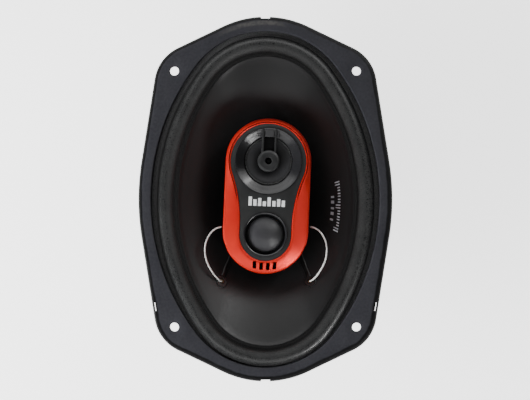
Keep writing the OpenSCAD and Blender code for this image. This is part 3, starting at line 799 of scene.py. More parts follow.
def dome_look():
    """Satin film, slightly lighter where it has been touched."""
    look = Look("dome_film", rough=0.48, specular=0.5)
    slow = look.noise(7.0, detail=4)
    look.color(look.ramp(slow, (0.023, 0.023, 0.026), (0.031, 0.0305, 0.034)))
    look.uneven(look.noise(1.5, detail=3), 0.44, 0.52)
    look.bump(look.noise(0.3, detail=2), 0.004)
    return look.material


LOOKS = {
    "trim_plastic": trim_look(),
    "surround_rubber": roll_look(),
    "cone_paper": cone_look(),
    "pod_red": red_look(),
    "spider_cloth": spider_look(),
    "tinsel": tinsel_look(),
    "dome_film": dome_look(),
    "driver_gloss": gloss_look(),
    "mid_paper": mid_paper_look(),
}
# dark colour, light colour, grain, its depth in millimetres, roughness range
for slot, finish, more in (
        ("basket_paint", ((0.009, 0.009, 0.010), (0.015, 0.015, 0.0165), 0.9, 0.05, (0.4, 0.52)),
         dict(specular=0.28)),
        ("ferrite", ((0.012, 0.012, 0.0125), (0.028, 0.0275, 0.028), 0.7, 0.08, (0.6, 0.8)),
         dict(specular=0.22)),
        ("fibre_board", ((0.13, 0.06, 0.025), (0.24, 0.12, 0.05), 0.4, 0.03, (0.55, 0.7)), {}),
        ("former_film", ((0.28, 0.13, 0.03), (0.42, 0.22, 0.06), 0.3, 0.01, (0.3, 0.4)), {}),
        ("felt", ((0.012, 0.012, 0.012), (0.03, 0.03, 0.03), 0.5, 0.2, (0.85, 0.95)), {}),
        ("glue_black", ((0.002, 0.002, 0.002), (0.004, 0.004, 0.004), 2.2, 0.02, (0.3, 0.4)), dict(mottle=3.0)),
        ("pod_black", ((0.012, 0.012, 0.013), (0.02, 0.02, 0.022), 0.4, 0.02, (0.42, 0.55)), {}),
        ("face_plastic", ((0.012, 0.0125, 0.013), (0.020, 0.0205, 0.021), 0.38, 0.05, (0.48, 0.6)),
         dict(specular=0.4)),
        ("capacitor_sleeve", ((0.01, 0.015, 0.03), (0.02, 0.03, 0.05), 0.6, 0.01, (0.25, 0.35)), {})):
    LOOKS[slot] = grained(slot, *finish, **more)
# dark colour, light colour, roughness range
for slot, low, high, rough in (
        ("brass_tab", (0.22, 0.13, 0.04), (0.34, 0.22, 0.08), (0.34, 0.48)),
        ("tin_tab", (0.16, 0.16, 0.165), (0.27, 0.27, 0.275), (0.32, 0.45)),
        ("coil_copper", (0.42, 0.13, 0.05), (0.62, 0.22, 0.09), (0.3, 0.45)),
        ("screw_steel", (0.22, 0.22, 0.235), (0.36, 0.36, 0.375), (0.25, 0.4)),
        ("neodymium", (0.55, 0.55, 0.57), (0.7, 0.7, 0.72), (0.15, 0.3))):
    LOOKS[slot] = metal(slot, low, high, rough)
LOOKS["zinc_plate"] = metal("zinc_plate", (0.17, 0.175, 0.185), (0.30, 0.305, 0.31), (0.3, 0.44), spin=AXIS)
BRIDGE = bridge_look()
# Near-black that stands in for shade: the plug in the boss's hole, the web between the bridge's rails and the
# tweeter's edge ring.
RECESS_SHADE = grained("recess_shade_black", (0.002, 0.002, 0.0022), (0.004, 0.004, 0.0043), 0.5, 0.02, (0.7, 0.85),
                 specular=0.1)
PRINT_WHITE = grained("print_white", (0.90, 0.91, 0.92), (0.95, 0.96, 0.97), 0.3, 0.004, (0.4, 0.5))
PRINT_GREY = grained("print_grey", (0.48, 0.49, 0.53), (0.66, 0.67, 0.72), 0.4, 0.004, (0.45, 0.55))


def look_of(node):
    """The material of a CAD node's slot."""
    return LOOKS[SLOT[node]]


# ---------------------------------------------------------------- camera

SCALE = 0.6475                            # millimetres of the flange's face to one step of the picture
PICTURE_W = 530
LENS, SENSOR = 100.0, 36.0
CAMERA_X, CAMERA_Y = -0.3, -0.6


def camera():
    """Straight above the front, so far away that the face has the photograph's scale."""
    data = bpy.data.cameras.new("camera")
    data.type = "PERSP"
    data.lens = LENS
    data.sensor_width = SENSOR
    cam = bpy.data.objects.new("camera", data)
    bpy.context.scene.collection.objects.link(cam)
    away = LENS * PICTURE_W * SCALE / SENSOR
    cam.location = (CAMERA_X * MM, CAMERA_Y * MM, (FACE_Z + away) * MM)
    cam.rotation_euler = (0, 0, 0)
    data.clip_start, data.clip_end = 0.01, 20
    bpy.context.scene.camera = cam


# ---------------------------------------------------------------- frame, trim and suspension

def quarter(steps):
    """Angles of a quarter turn, in radians."""
    return np.radians(np.linspace(0, 90, steps + 1))


def trim_ring():
    """Front ring: rounded rim, flat face with bevelled holes, notches at its ends and two grille slots."""
    top, edge, flat_inset = FACE_Z, 3.0, 4.8
    foot, floor, rebate = 0.2, 1.05, 1.95
    skirt, pocket = 2.5, oval_ring(-0.3, 0)[:, :2]
    mouth, hole_mouth = 0.9, 0.35
    shell = Shell()
    rim = [(skirt, floor), (skirt, foot), (0.25, foot), (0, foot + 0.25)]
    rim += [(edge * (1 - math.cos(t)), top - edge * (1 - math.sin(t))) for t in quarter(9)]
    rim += [(3.6, top), (4.2, top), (flat_inset, top)]
    shell.rings([lifted(flange_outline(d), z) for d, z in rim])
    inner = [trim_ring_points(-mouth * (1 - math.sin(t)), top - mouth * (1 - math.cos(t))) for t in quarter(4)]
    shell.rings(inner + [trim_ring_points(0, rebate)])
    shell.rings([lifted(pocket, rebate), lifted(pocket, floor)])
    shell.add(*flat(flange_outline(flat_inset), [trim_ring_points(-mouth, 0)[:, :2]]
                    + [circle(x, y, HOLE_R + hole_mouth, 32) for x, y in BOLT_HOLES], top))
    shell.add(*flat(pocket, [trim_ring_points(0, 0)[:, :2]], rebate))
    shell.add(*flat(flange_outline(skirt), [pocket] + [circle(x, y, HOLE_R, 32) for x, y in BOLT_HOLES], floor))
    for x, y in BOLT_HOLES:
        wall = [lifted(circle(x, y, HOLE_R + hole_mouth * (1 - math.sin(t)), 32),
                       top - hole_mouth * (1 - math.cos(t))) for t in quarter(3)]
        shell.rings(wall + [lifted(circle(x, y, HOLE_R, 32), floor)])
    obj = shell.done("trim_ring_body", look_of("trim_ring"))

    cutters = []
    notch_half, notch_deep, below, above = 2.9, 1.4, -1, 8
    for y in (-1, 1):
        notch = Shell()
        low_y, high_y = sorted((y * FLANGE_L - y * notch_deep, y * FLANGE_L + y * 3))
        notch.box((-notch_half, low_y, below), (notch_half, high_y, above), bevel=0.2)
        cutters.append(notch.done(f"notch{y}", look_of("trim_ring")))
    slot_half, slot_reach = 0.35, 2.9
    for x in (-1, 1):
        lean = math.radians(-x * SIDE_TURN)
        slot = Shell()
        slot.box((-slot_half, -slot_reach, below), (slot_half, slot_reach, above), bevel=0.08,
                 turn=lambda p: spun(p, lean) + [x * CLIP_X, CLIP_Y, 0])
        cutters.append(slot.done(f"slot{x}", look_of("trim_ring")))
    cut(obj, cutters, 28)
    at = vertices(obj)
    # Painted shade: the near-black band round the rim widens towards the lower right, the side in shade.
    half = 3.1 + 0.8 * np.cos(np.arctan2(at[:, 1], at[:, 0]) - math.radians(-45))
    paint(obj, "rim", np.clip(1 - edge_distance(at, flange_outline(0)) / (2 * half), 0, 1))
    stand_in(obj, "trim_ring")


def roll_profile():
    """(inset, height, weight) round the surround's section: weight 0 stays with the frame."""
    steps = 22
    t = np.linspace(0, math.pi, steps + 1)
    mid = ROLL_INSET + ROLL_W / 2
    top = [(mid - ROLL_W / 2 * math.cos(a), LIP_Z + LIP_T + ROLL_H * math.sin(a) ** 0.9) for a in t]
    under = [(mid - (ROLL_W / 2 - LIP_T) * math.cos(a), LIP_Z + 0.02 + (ROLL_H - 0.1) * math.sin(a) ** 0.9)
             for a in t[::-1]]
    end, face = CONE_EDGE_INSET - 0.3, LIP_Z + LIP_T
    section = [(0.3, LIP_Z), (0.3, face), (1.4, face + 0.02), (2.5, face + 0.02), (3.1, face - 0.12)]
    section += top + [(ROLL_INSET + ROLL_W + 0.5, face - 0.1), (end - 0.3, face - 0.1), (end, face - 0.3),
                      (end, LIP_Z)] + under
    return [(i, z, min(max((i - ROLL_INSET) / ROLL_W, 0), 1)) for i, z in section]


def surround():
    """Half roll between the frame and the cone: painted light on the recessed lip, a matt inner slope, and
    painted shade in the groove by the cone and under the trim's edge on the left.
    """
    profile = roll_profile()
    rings = [oval_ring(i, z) for i, z, _ in profile]
    obj = from_rings("surround_roll", rings, look_of("surround"), wrap=True, sharp=50, weld=False)
    weights = np.repeat([w for _, _, w in profile], len(rings[0]))
    inset = np.repeat([i for i, _, _ in profile], len(rings[0]))
    across = np.vstack(rings)[:, :2] - AXIS
    leftward = -across[:, 0] / np.linalg.norm(across, axis=1)
    # Painted shadow of the trim's edge on the lip and the roll's foot, on the left-hand side.
    trim_shadow = np.clip(1.3 - abs(inset - 3.9), 0, 1) * np.clip((leftward - 0.3) / 0.4, 0, 1)
    # Painted light on the recessed lip and the roll's outer foot.
    paint(obj, "lip", np.clip((4.1 - inset) / 0.7, 0, 1))
    paint(obj, "slack", np.clip((inset - 9.4) / 1.6, 0, 1))
    # Painted shade: the groove by the cone, and the painted shadow on the left.
    paint(obj, "roll_shade", np.maximum(np.clip((inset - 13.6) / 0.9, 0, 1), trim_shadow))
    stretch(obj, "cone_assembly", weights, "surround")


def basket_sheet(rings, solid, name):
    """A pressed sheet on a coarse grid of cells, rounded by subdivision and given its thickness."""
    n, m = len(rings[0]), len(rings)
    faces = [(j * n + i, j * n + (i + 1) % n, (j + 1) * n + (i + 1) % n, (j + 1) * n + i)
             for j in range(m - 1) for i in range(n) if solid(j, i)]
    obj = make(name, np.vstack(rings), faces, look_of("basket"), sharp=180)
    bm = bmesh.new()
    bm.from_mesh(obj.data)
    loose = [v for v in bm.verts if not v.link_faces]
    bmesh.ops.delete(bm, geom=loose, context="VERTS")
    bm.to_mesh(obj.data)
    bm.free()
    smooth = obj.modifiers.new("smooth", "SUBSURF")
    smooth.levels = smooth.render_levels = 3
    thick = obj.modifiers.new("thick", "SOLIDIFY")
    thick.thickness = BOWL_T * MM
    thick.offset = 0
    thick.use_even_offset = True
    apply_modifiers(obj)
    reshade(obj, 50)
    return obj


def basket():
    """Stamped steel: flat flange, oval bowl on eight ribbed arms, spider ledge, vented cup and base."""
    cells = 12
    turns = oval_turns(OVAL, cells)
    mid_t = BOWL_T / 2
    foot_r = LEDGE_R - 0.6

    def on_end(i):
        return i % (2 * cells) >= cells

    def bowl_ring(inset, share, z, ribbed=False):
        ring = mixed_ring(inset - mid_t, foot_r + mid_t * 0.6, share, z, turns)
        if ribbed:
            middle = np.append(AXIS, z)
            for i in range(len(ring)):
                k = i % cells
                if k == 6 or (on_end(i) and k in (5, 7)):
                    ring[i] += 1.1 * (ring[i] - middle) / np.linalg.norm((ring[i] - middle)[:2])
        return ring

    rings = [oval_ring(2.0, 0.45, turns), oval_ring(BOWL_INSET - 1.6, 0.45, turns)]
    rings += [bowl_ring(BOWL_INSET + more, share, z, ribbed) for more, share, z, ribbed in (
        (0, 0, -0.6, False), (0.4, 0, -6.6, False), (1.2, 0.03, -9.4, False), (2, 0.12, -13, True),
        (2, 0.33, -19, True), (2, 0.54, -25, True), (2, 0.75, -31, True), (2, 0.93, -35.6, False),
        (2, 1.0, -37.2, False))]
    rings += [mixed_ring(0, LEDGE_R - 3, 1.0, -37.35, turns)]

    def window(j, i):
        k = i % cells
        open_cells = (1, 2, 3, 8, 9, 10) if on_end(i) else (1, 2, 3, 4, 7, 8, 9, 10)
        return 4 <= j <= 8 and k in open_cells

    bowl = basket_sheet(rings, lambda j, i: not window(j, i), "basket_bowl")

    columns, offset = 48, 3.75
    spin = np.radians(offset + 360 * np.arange(columns) / columns)

    def hoop(r, z):
        return lifted(AXIS + r * np.column_stack([np.cos(spin), np.sin(spin)]), z)

    profile = [(r, BASE_Z + up) for r, up in (
        (16.2, 0.6), (24, 0.6), (33, 0.6), (42, 0.6), (44.9, 1.0), (45.6, 3.0), (45.9, 5.6), (46.1, 8.2),
        (46.3, 10.8), (46.6, 13.2))] + [(r, LEDGE_Z + 0.6) for r in (47.6, 50.5, 53.9)]

    def vent(j, i):
        return 5 <= j <= 7 and (i % 6) in (1, 2, 3)

    cup = basket_sheet([hoop(r, z) for r, z in profile], lambda j, i: not vent(j, i), "basket_cup")

    plate = Shell()
    inset, bevel, hole_r = 2.6, 0.15, HOLE_R + 0.05
    edge = inset + bevel
    plate.rings([lifted(flange_outline(d), z) for d, z in (
        (edge, 0), (inset, bevel), (inset, 1 - bevel), (edge, 1))])
    opening = [oval_ring(4.4, z) for z in (0, 1)]
    plate.rings(opening)
    for z in (0, 1):
        plate.add(*flat(flange_outline(edge), [opening[0][:, :2]]
                        + [circle(x, y, hole_r, 32) for x, y in BOLT_HOLES], z))
    for x, y in BOLT_HOLES:
        plate.rings([lifted(circle(x, y, hole_r, 32), z) for z in (0, 1)])
    flange = plate.done("basket_flange", look_of("basket"))

    pad = Shell()
    pad.box((-15.5, -9, -0.95), (15.5, 9, 0.9), turn=on_pad, bevel=0.5)
    pad = pad.done("basket_pad", look_of("basket"))
    for piece in (bowl, cup, flange, pad):
        stand_in(piece, "basket")


def on_pad(points):
    """Terminal pad's own axes to the frame: its Z points out of the basket."""
    turn = Matrix.Rotation(math.radians(PAD_TILT), 3, "X")
    return np.array([turn @ Vector(p) for p in np.asarray(points, float)]) + np.array(PAD_AT)


def spider():
    """Corrugated cloth from the ledge to the former."""
    inner, start, end, folds = 13.35, 15.0, CUP_R - 1.6, 5
    z0 = LEDGE_Z + SHEET_T + 0.05
    n = 90
    mids = [(start + (end - start) * i / n,
             1.3 * math.sin(TAU * folds * i / n) * min(1, i / 6, (n - i) / 6)) for i in range(n + 1)]
    line = [(inner, 0.9), (inner + 0.4, 0.15)] + mids + [(end + 1.5, 0), (LEDGE_R - 3, 0)]
    t = 0.5
    profile = [(r, z0 + z) for r, z in line] + [(r, z0 + z + t) for r, z in line[::-1]]
    soft_ring("spider_cloth_disc", "spider", "cone_assembly", profile, (start, end), look_of("spider"),
              steps=128)


# ---------------------------------------------------------------- motor

def motor():
    """Ferrite magnet between its top plate and the yoke, riveted to the basket."""
    top_plate_z = BASE_Z - 6
    yoke_z = top_plate_z - 17
    rear_z = yoke_z - 6
    turned_part("top_plate_disc", "top_plate", fillet=0.5, profile=[
        (14.1, top_plate_z), (14.1, BASE_Z), (44, BASE_Z), (44, top_plate_z)])
    turned_part("magnet_ring", "magnet", fillet=1.2, steps=160, profile=[
        (23, yoke_z), (23, top_plate_z), (48, top_plate_z), (48, yoke_z)])
    turned_part("yoke_body", "yoke", fillet=0.6, profile=[
        (2.5, rear_z + 5), (2.5, BASE_Z + 1.4), (12.3, BASE_Z + 1.4), (12.3, yoke_z), (44, yoke_z),
        (44, rear_z), (5.5, rear_z), (5.5, rear_z + 5)])
    rivets = Shell()
    head = rounded([(r, BASE_Z + up) for r, up in (
        (0, -5.5), (1.95, -5.5), (1.95, 1.2), (3.4, 1.2), (3.1, 2.1), (1.8, 2.5), (0, 2.5))], 0.2)
    for a in np.radians((45, 135, 225, 315)):
        at = AXIS + 34 * np.array([math.cos(a), math.sin(a)])
        rivets.rings(lathe_rings(head, at, 32), wrap=True)
    stand_in(rivets.done("base_rivet_heads", look_of("base_rivets")), "base_rivets")


def terminals():
    """Riveted board with two folded blades, each with a hole near its tip."""
    board = Shell()
    board_top, blade_t = 2.6, 0.8
    board.box((-14, -7.5, 1.0), (14, 7.5, board_top), turn=on_pad, bevel=0.35)
    stand_in(board.done("terminal_board_plate", look_of("terminal_board")), "terminal_board")

    reach, tip, hole_z, hole_r, edge = 3.5, 11.55, 8.2, 0.7, 0.15
    for node, x, w in (("terminal_positive", -6, 4.8), ("terminal_negative", 6, 2.8)):
        def strip(at, d):
            """Foot and upright seen from the side, in one outline drawn in by d."""
            low, foot_top, rear = board_top + d, board_top + blade_t - d, reach - blade_t + d
            return on_pad([(at, -reach + d, low), (at, reach - d, low), (at, reach - d, tip - d),
                           (at, rear, tip - d), (at, rear, foot_top), (at, -reach + d, foot_top)])

        half = w / 2
        blade = from_rings(f"{node}_blade", [strip(x - half, edge), strip(x - half + edge, 0),
                                             strip(x + half - edge, 0), strip(x + half, edge)],
                           look_of(node), caps=True)
        hole = [on_pad([(px, y, pz) for px, pz in circle(x, hole_z, hole_r, 16)]) for y in (1.5, 5.0)]
        cut(blade, [from_rings("blade_hole", hole, look_of(node), caps=True)], 30)
        stand_in(blade, node)

    rivets = Shell()
    profile = rounded([(0, -1.75), (2.3, -1.6), (2.4, -0.95), (1.45, -0.95), (1.45, 2.6), (2.4, 2.6),
                       (2.2, 3.2), (1.2, 3.4), (0.9, 3.1), (0, 3.0)], 0.12)
    for x in (-11, 11):
        rivets.rings([on_pad(r) for r in lathe_rings(profile, (x, 0), 32)], wrap=True)
    stand_in(rivets.done("terminal_rivet_pair", look_of("terminal_rivets")), "terminal_rivets")


# ---------------------------------------------------------------- cone and what rides with it

def cone_z(share):
    """Height of the cone's front, from its rim (share 0) to its neck (share 1)."""
    return CONE_LIFT + CONE_EDGE_Z - (CONE_DEPTH + CONE_EDGE_Z) * share * (1 - CONE_FLARE * (1 - share))


def cone_point(turn, share, lift=0.0):
    """A point lift millimetres above the cone's front along its normal, and that normal."""
    def at(t, s):
        return mixed_ring(CONE_EDGE_INSET, NECK_R, s, cone_z(s), np.array([t]))[0]

    p = at(turn, share)
    along = at(turn, share + 0.01) - at(turn, share - 0.01)
    across = at(turn + 0.5, share) - at(turn - 0.5, share)
    n = np.cross(across, along)
    n /= np.linalg.norm(n)
    if n[2] < 0:
        n = -n
    return p + lift * n, n


def cone():
    """Pressed pulp cone: a flat rim under the surround, a fine bead at its edge and a smooth flare."""
    shares = np.linspace(0, 1, 30)
    front = [oval_ring(CONE_RIM_INSET, CONE_LIFT)]
    front += [oval_ring(CONE_EDGE_INSET + more, CONE_LIFT + up) for more, up in (
        (-0.35, 0), (-0.2, 0.08), (0.1, 0.06), (0.5, -0.2))]
    front += [mixed_ring(CONE_EDGE_INSET, NECK_R, s, cone_z(s)) for s in shares[1:]]
    rear = [mixed_ring(CONE_EDGE_INSET, NECK_R + 0.1, s, cone_z(s) - 1.25 * CONE_T) for s in shares[::-1]]
    rear += [oval_ring(CONE_RIM_INSET, CONE_LIFT - 1.0)]
    stand_in(from_rings("cone_body", front + rear, look_of("cone"), wrap=True, sharp=45), "cone")


def patch(first, last, steps):
    """A thin printed mark on the cone between two (turn, share) corners, as (points, faces)."""
    print_lift, print_depth = 0.05, -0.15
    ts = np.linspace(first[0], last[0], steps + 1)
    loop = []
    for lift in (print_lift, print_depth):
        near, far = ([cone_point(t, s, lift)[0] for t in ts] for s in (first[1], last[1]))
        loop.append(near + far[::-1])
    n = len(loop[0])
    faces = skin(loop)
    for base in (0, n):
        faces += [(base + i, base + i + 1, base + n - 2 - i, base + n - 1 - i) for i in range(n // 2 - 1)]
    return np.vstack(loop), faces


def cone_marks():
    """A plain graduated scale printed on the cone's right-hand side, with a row of short bars beside it."""
    shell = Shell()
    for i, turn in enumerate(np.linspace(-10.8, 5.6, 9)):
        length = 0.262 if i % 4 == 0 else 0.232
        for offset in (0.0, 0.95):
            shell.add(*patch((turn + offset, 0.195), (turn + offset + 0.42, length), 2))
    for i, turn in enumerate(np.linspace(-7.6, 1.2, 5)):
        shell.add(*patch((turn, 0.285), (turn + (1.2 if i % 2 else 0.8), 0.33), 3))
    ride_on(shell.done("cone_scale_print", PRINT_GREY), "cone_assembly")


def eyelets_and_glue():
    """Eyelets in lumps of adhesive, and the coated coil leads that run from them to the neck."""
    rng = np.random.default_rng(7)
    glue, eyelet, runs = Shell(), Shell(), Shell()
    around = TAU * np.arange(48) / 48
    for turn, share in EYELETS:
        at, n = cone_point(turn, share)
        frame_x = np.cross(n, [0, 1, 0])
        frame_x /= np.linalg.norm(frame_x)
        frame_y = np.cross(n, frame_x)

        def hoop(r, h):
            """Ring of radius r about the eyelet, h above the cone; r may change round the ring."""
            return at + np.outer(r * np.cos(around), frame_x) + np.outer(r * np.sin(around), frame_y) + h * n

        phase = rng.uniform(0, TAU, 3)
        lumps = 1 + 0.10 * np.sin(2 * around + phase[0]) + 0.06 * np.sin(3 * around + phase[1]) \
            + 0.03 * np.sin(5 * around + phase[2])
        blob = ((0.02, 0.95), (0.8, 0.93), (1.5, 0.72), (2.2, 0.58), (2.8, 0.64), (3.3, 0.74), (3.7, 0.66),
                (4.0, 0.36), (4.1, 0.02), (3.8, -0.3), (0.02, -0.3))
        glue.rings([hoop(r * lumps if r > 1 else r, h) for r, h in blob], wrap=True)
        ring = ((0.75, 0.0), (1.2, 0.0), (1.25, 0.5), (1.1, 0.9), (0.85, 0.88), (0.72, 0.7))
        eyelet.rings([hoop(r, h) for r, h in ring], wrap=True)

        path = [cone_point(turn, s) for s in np.linspace(share + 0.03, 0.95, 26)]
        section = []
        for i, (p, m) in enumerate(path):
            along = path[min(i + 1, 25)][0] - path[max(i - 1, 0)][0]
            across = np.cross(m, along / np.linalg.norm(along))
            wide = 1.75 + 0.16 * math.sin(i * 0.9 + phase[0]) + 0.08 * math.sin(i * 2.1 + phase[1])
            high = 0.5 + 0.05 * math.sin(i * 1.3 + phase[2])
            t = TAU * np.arange(14) / 14
            section.append(p + np.outer(wide * np.cos(t), across) + np.outer(high * np.sin(t), m))
        runs.rings(section, caps=True)
    stand_in(glue.done("lead_adhesive_blobs", look_of("lead_adhesive"), sharp=180), "lead_adhesive")
    stand_in(eyelet.done("lead_eyelet_rings", look_of("lead_eyelets"), sharp=60), "lead_eyelets")
    stand_in(runs.done("coil_lead_runs", look_of("coil_leads"), sharp=180), "coil_leads")


def voice_coil():
    """Film former with its winding, one ridge to a turn, and the felt ring at the neck."""
    turned_part("former_tube", "former", fillet=0.05, profile=[
        (12.75, -62), (12.75, -29.5), (12.95, -29.5), (12.95, -62)])
    low, high, turns = -61.5, -49.5, 40
    profile = [(12.96, low)]
    for i in range(turns):
        z = low + (high - low) * (i + 0.5) / turns
        profile += [(13.3, z - 0.13), (13.35, z), (13.3, z + 0.13)]
    ring_part("voice_coil_winding", "voice_coil", profile + [(12.96, high)])
    turned_part("dust_ring_felt", "dust_ring", fillet=0.3, profile=[
        (8.5, -31.5), (8.5, -29.8), (12.74, -29.8), (12.74, -31.5)])


# ---------------------------------------------------------------- tinsel leads

def smooth_path(points, step):
    """A Catmull-Rom curve through the route's points, sampled about every step millimetres."""
    p = np.array(points, float)
    p = np.vstack([2 * p[0] - p[1], p, 2 * p[-1] - p[-2]])
    out = []
    for i in range(1, len(p) - 2):
        length = np.linalg.norm(p[i + 1] - p[i])
        n = max(2, int(round(length / step)))
        for t in np.arange(n) / n:
            out.append(0.5 * (2 * p[i] + (p[i + 1] - p[i - 1]) * t
                              + (2 * p[i - 1] - 5 * p[i] + 4 * p[i + 1] - p[i + 2]) * t ** 2
                              + (3 * p[i] - p[i - 1] - 3 * p[i + 1] + p[i + 2]) * t ** 3))
    out.append(p[-2])
    return np.array(out)


def braided(path, r):
    """Rings of a braided wire: two crossing sets of strands stand proud of the core."""
    sides = 16
    t = TAU * np.arange(sides) / sides
    steps = np.linalg.norm(np.diff(path, axis=0), axis=1)
    run = np.concatenate([[0], np.cumsum(steps)])
    up = np.array([0, 0, 1.0])
    rings = []
    for i in range(len(path)):
        d = path[min(i + 1, len(path) - 1)] - path[max(i - 1, 0)]
        d /= np.linalg.norm(d)
        u = np.cross(d, up)
        u /= np.linalg.norm(u)
        v = np.cross(u, d)
        twist = TAU * run[i] / 2.4
        strands = np.maximum(np.abs(np.cos(2 * t + twist)), np.abs(np.cos(2 * t - twist)))
        radius = r * (0.88 + 0.12 * strands)
        rings.append(path[i] + np.outer(radius * np.cos(t), u) + np.outer(radius * np.sin(t), v))
    return rings, run


def lead(name, node, route, mirror, moving_end):
    """One tinsel lead along its route to its end at the cone, shown in place of its CAD node; the weights along
    it go to stretch, which does not use them.
    """
    route = [(-x if mirror else x, y, z) for x, y, z in route]
    route = [(x + AXIS[0], y + AXIS[1], z) for x, y, z in route]
    path = smooth_path(route + [tuple(moving_end)], 0.3)
    rings, run = braided(path, LEAD_R)
    obj = from_rings(name, rings, look_of(node), caps=True, sharp=60, weld=False)
    share = run / run[-1]
    stretch(obj, "cone_assembly", np.repeat(share * share * (3 - 2 * share), len(rings[0])), node)
    length = run[-1] * MM
    return length


def leads():
    """A front and a rear lead on each side, from the pod and the terminals to the eyelet."""
    lengths = {}
    for side, mirror, (turn, share) in (("left", True, EYELETS[0]), ("right", False, EYELETS[1])):
        for place, route, lift in (("front", FRONT_ROUTE, 0.9), ("rear", REAR_ROUTE, -2.1)):
            node, end = f"{place}_lead_{side}", cone_point(turn, share, lift)[0]
            lengths[f"{place}_{side}"] = lead(f"{node}_braid", node, route, mirror, end)
    print("lead lengths, m:", {k: round(v, 4) for k, v in lengths.items()})


# ---------------------------------------------------------------- pod

def round_box(w, l, corner):
    """Outline of a rectangle of half width w and half length l with rounded corners."""
    return np.vstack([arc(x * (w - corner), y * (l - corner), corner, start, start + 90, 4)
                      for x, y, start in ((1, 1, 0), (-1, 1, 90), (-1, -1, 180), (1, -1, 270))])


def pod_shell():
    """Red moulding: straight wall, crowned front, a groove and bead round the face plate's wide end, vents."""
    wall, groove, groove_half = 2.0, 1.06, 0.34
    end_starts, end_fade = -4, 6                      # where the groove begins, and over what length
    brow, crest = 9.2, POD_FRONT
    inner = pear_outline(0.12)
    heading = inner / np.linalg.norm(inner, axis=1)[:, None]

    def stadium(r):
        return np.array([stadium_hit(h, r) for h in heading])

    outer, inner_wall = stadium(POD_R), stadium(POD_R - wall)
    rings = [lifted(outer * (1 - 0.3 / POD_R), POD_REAR), lifted(outer, POD_REAR + 0.4),
             lifted(outer, brow - 0.6), lifted(outer * (1 - 0.12 / POD_R), brow - 0.15)]
    for t in np.linspace(0, 1, 12)[1:]:
        height = brow + (crest - brow) * (1 - (1 - t) ** 1.35)
        rings.append(lifted(outer + (pear_outline(groove + groove_half) - outer) * t, height))
    wide_end = np.clip((inner[:, 1] - end_starts) / end_fade, 0, 1)
    for grow, drop in ((0.22, 0.5), (-0.22, 0.5), (-0.32, 0.05)):
        rings.append(np.column_stack([pear_outline(groove + grow), crest - drop * wide_end]))
    rings += [lifted(pear_outline(0.42), crest - 0.1), lifted(inner, crest - 0.42),
              lifted(inner, crest - 2.2), lifted(inner_wall + (inner - inner_wall) * 0.1, brow - 0.4),
              lifted(inner_wall, brow - 1.2), lifted(inner_wall, POD_REAR)]
    obj = from_rings("pod_shell_red", [in_pod(r) for r in rings], look_of("pod_shell"), wrap=True, sharp=50)

    cutters = []
    for i in (-1.5, -0.5, 0.5, 1.5):
        at = [4.3 * i + 0.3, PEAR["small_y"] - 20.6 + abs(i) * 0.75, 0]
        vent = [in_pod(spun(lifted(round_box(1.15, 2.4, 0.35), z), -0.02 * i) + at) for z in (0, 20)]
        cutters.append(from_rings(f"vent{i}", vent, look_of("pod_shell"), caps=True))
    for x in (-1, 1):
        hole = [in_pod([(x * reach, p - 20.0, z) for p, z in circle(0, 0, 1.0, 20)])
                for reach in (POD_R - 4, POD_R + 4)]
        cutters.append(from_rings(f"lead_hole{x}", hole, look_of("pod_shell"), caps=True))
    cut(obj, cutters, 40)
    # Painted shade: marks the groove round the face plate's wide end, which the red material turns near-black.
    at = vertices(obj)
    away = abs(edge_distance(at, in_pod(lifted(pear_outline(0), 0))[:, :2]) - groove)
    wide_end = np.clip((at[:, 1] - POD_AT[1] - end_starts) / end_fade, 0, 1) * (at[:, 2] > brow)
    paint(obj, "groove", np.clip((groove_half - away) / 0.1, 0, 1) * wide_end)
    stand_in(obj, "pod_shell")

    back_r, thick = POD_R - wall - 0.1, 1.8
    back = [in_pod(lifted(stadium(r), POD_REAR + up)) for r, up in (
        (1.0, 0), (back_r - 0.3, 0), (back_r, 0.3), (back_r, thick), (1.0, thick))]
    stand_in(from_rings("pod_back_plate", back, look_of("pod_back"), caps=True), "pod_back")


def pod_face():
    """Charcoal face plate with bevelled edges, openings for the two drivers and a row of plain bars."""
    top, low, edge, play = POD_FRONT - 0.35, POD_FRONT - 2.2, 0.3, -0.02
    shell = Shell()
    shell.rings([in_pod(lifted(pear_outline(grow), z)) for grow, z in (
        (play, low), (play, top - edge), (-0.1, top - 0.1), (-edge, top))])
    openings = [circle(0, MID_Y, 21.5, 96), circle(0, TWEETER_Y, 14.25, 72)]
    for ring in openings:
        shell.rings([in_pod(lifted(ring, z)) for z in (low, top)])
    for grow, z in ((-edge, top), (play, low)):
        verts, faces = flat(pear_outline(grow), openings, z)
        shell.add(in_pod(verts), faces)
    stand_in(shell.done("pod_face_plate", look_of("pod_face"), sharp=40), "pod_face")

    bars = Shell()
    width, gap, left, foot = 2.1, 0.95, -11.7, -6.5
    for i, h in enumerate((5.8, 4.1, 5.1, 3.1, 5.8, 3.6, 4.8, 4.1)):
        x = left + i * (width + gap)
        bars.box((x, foot, top - 0.1), (x + width, foot + h, top + 0.05), turn=in_pod, bevel=0.05)
    ride_on(bars.done("pod_face_bars", PRINT_WHITE), "frame")


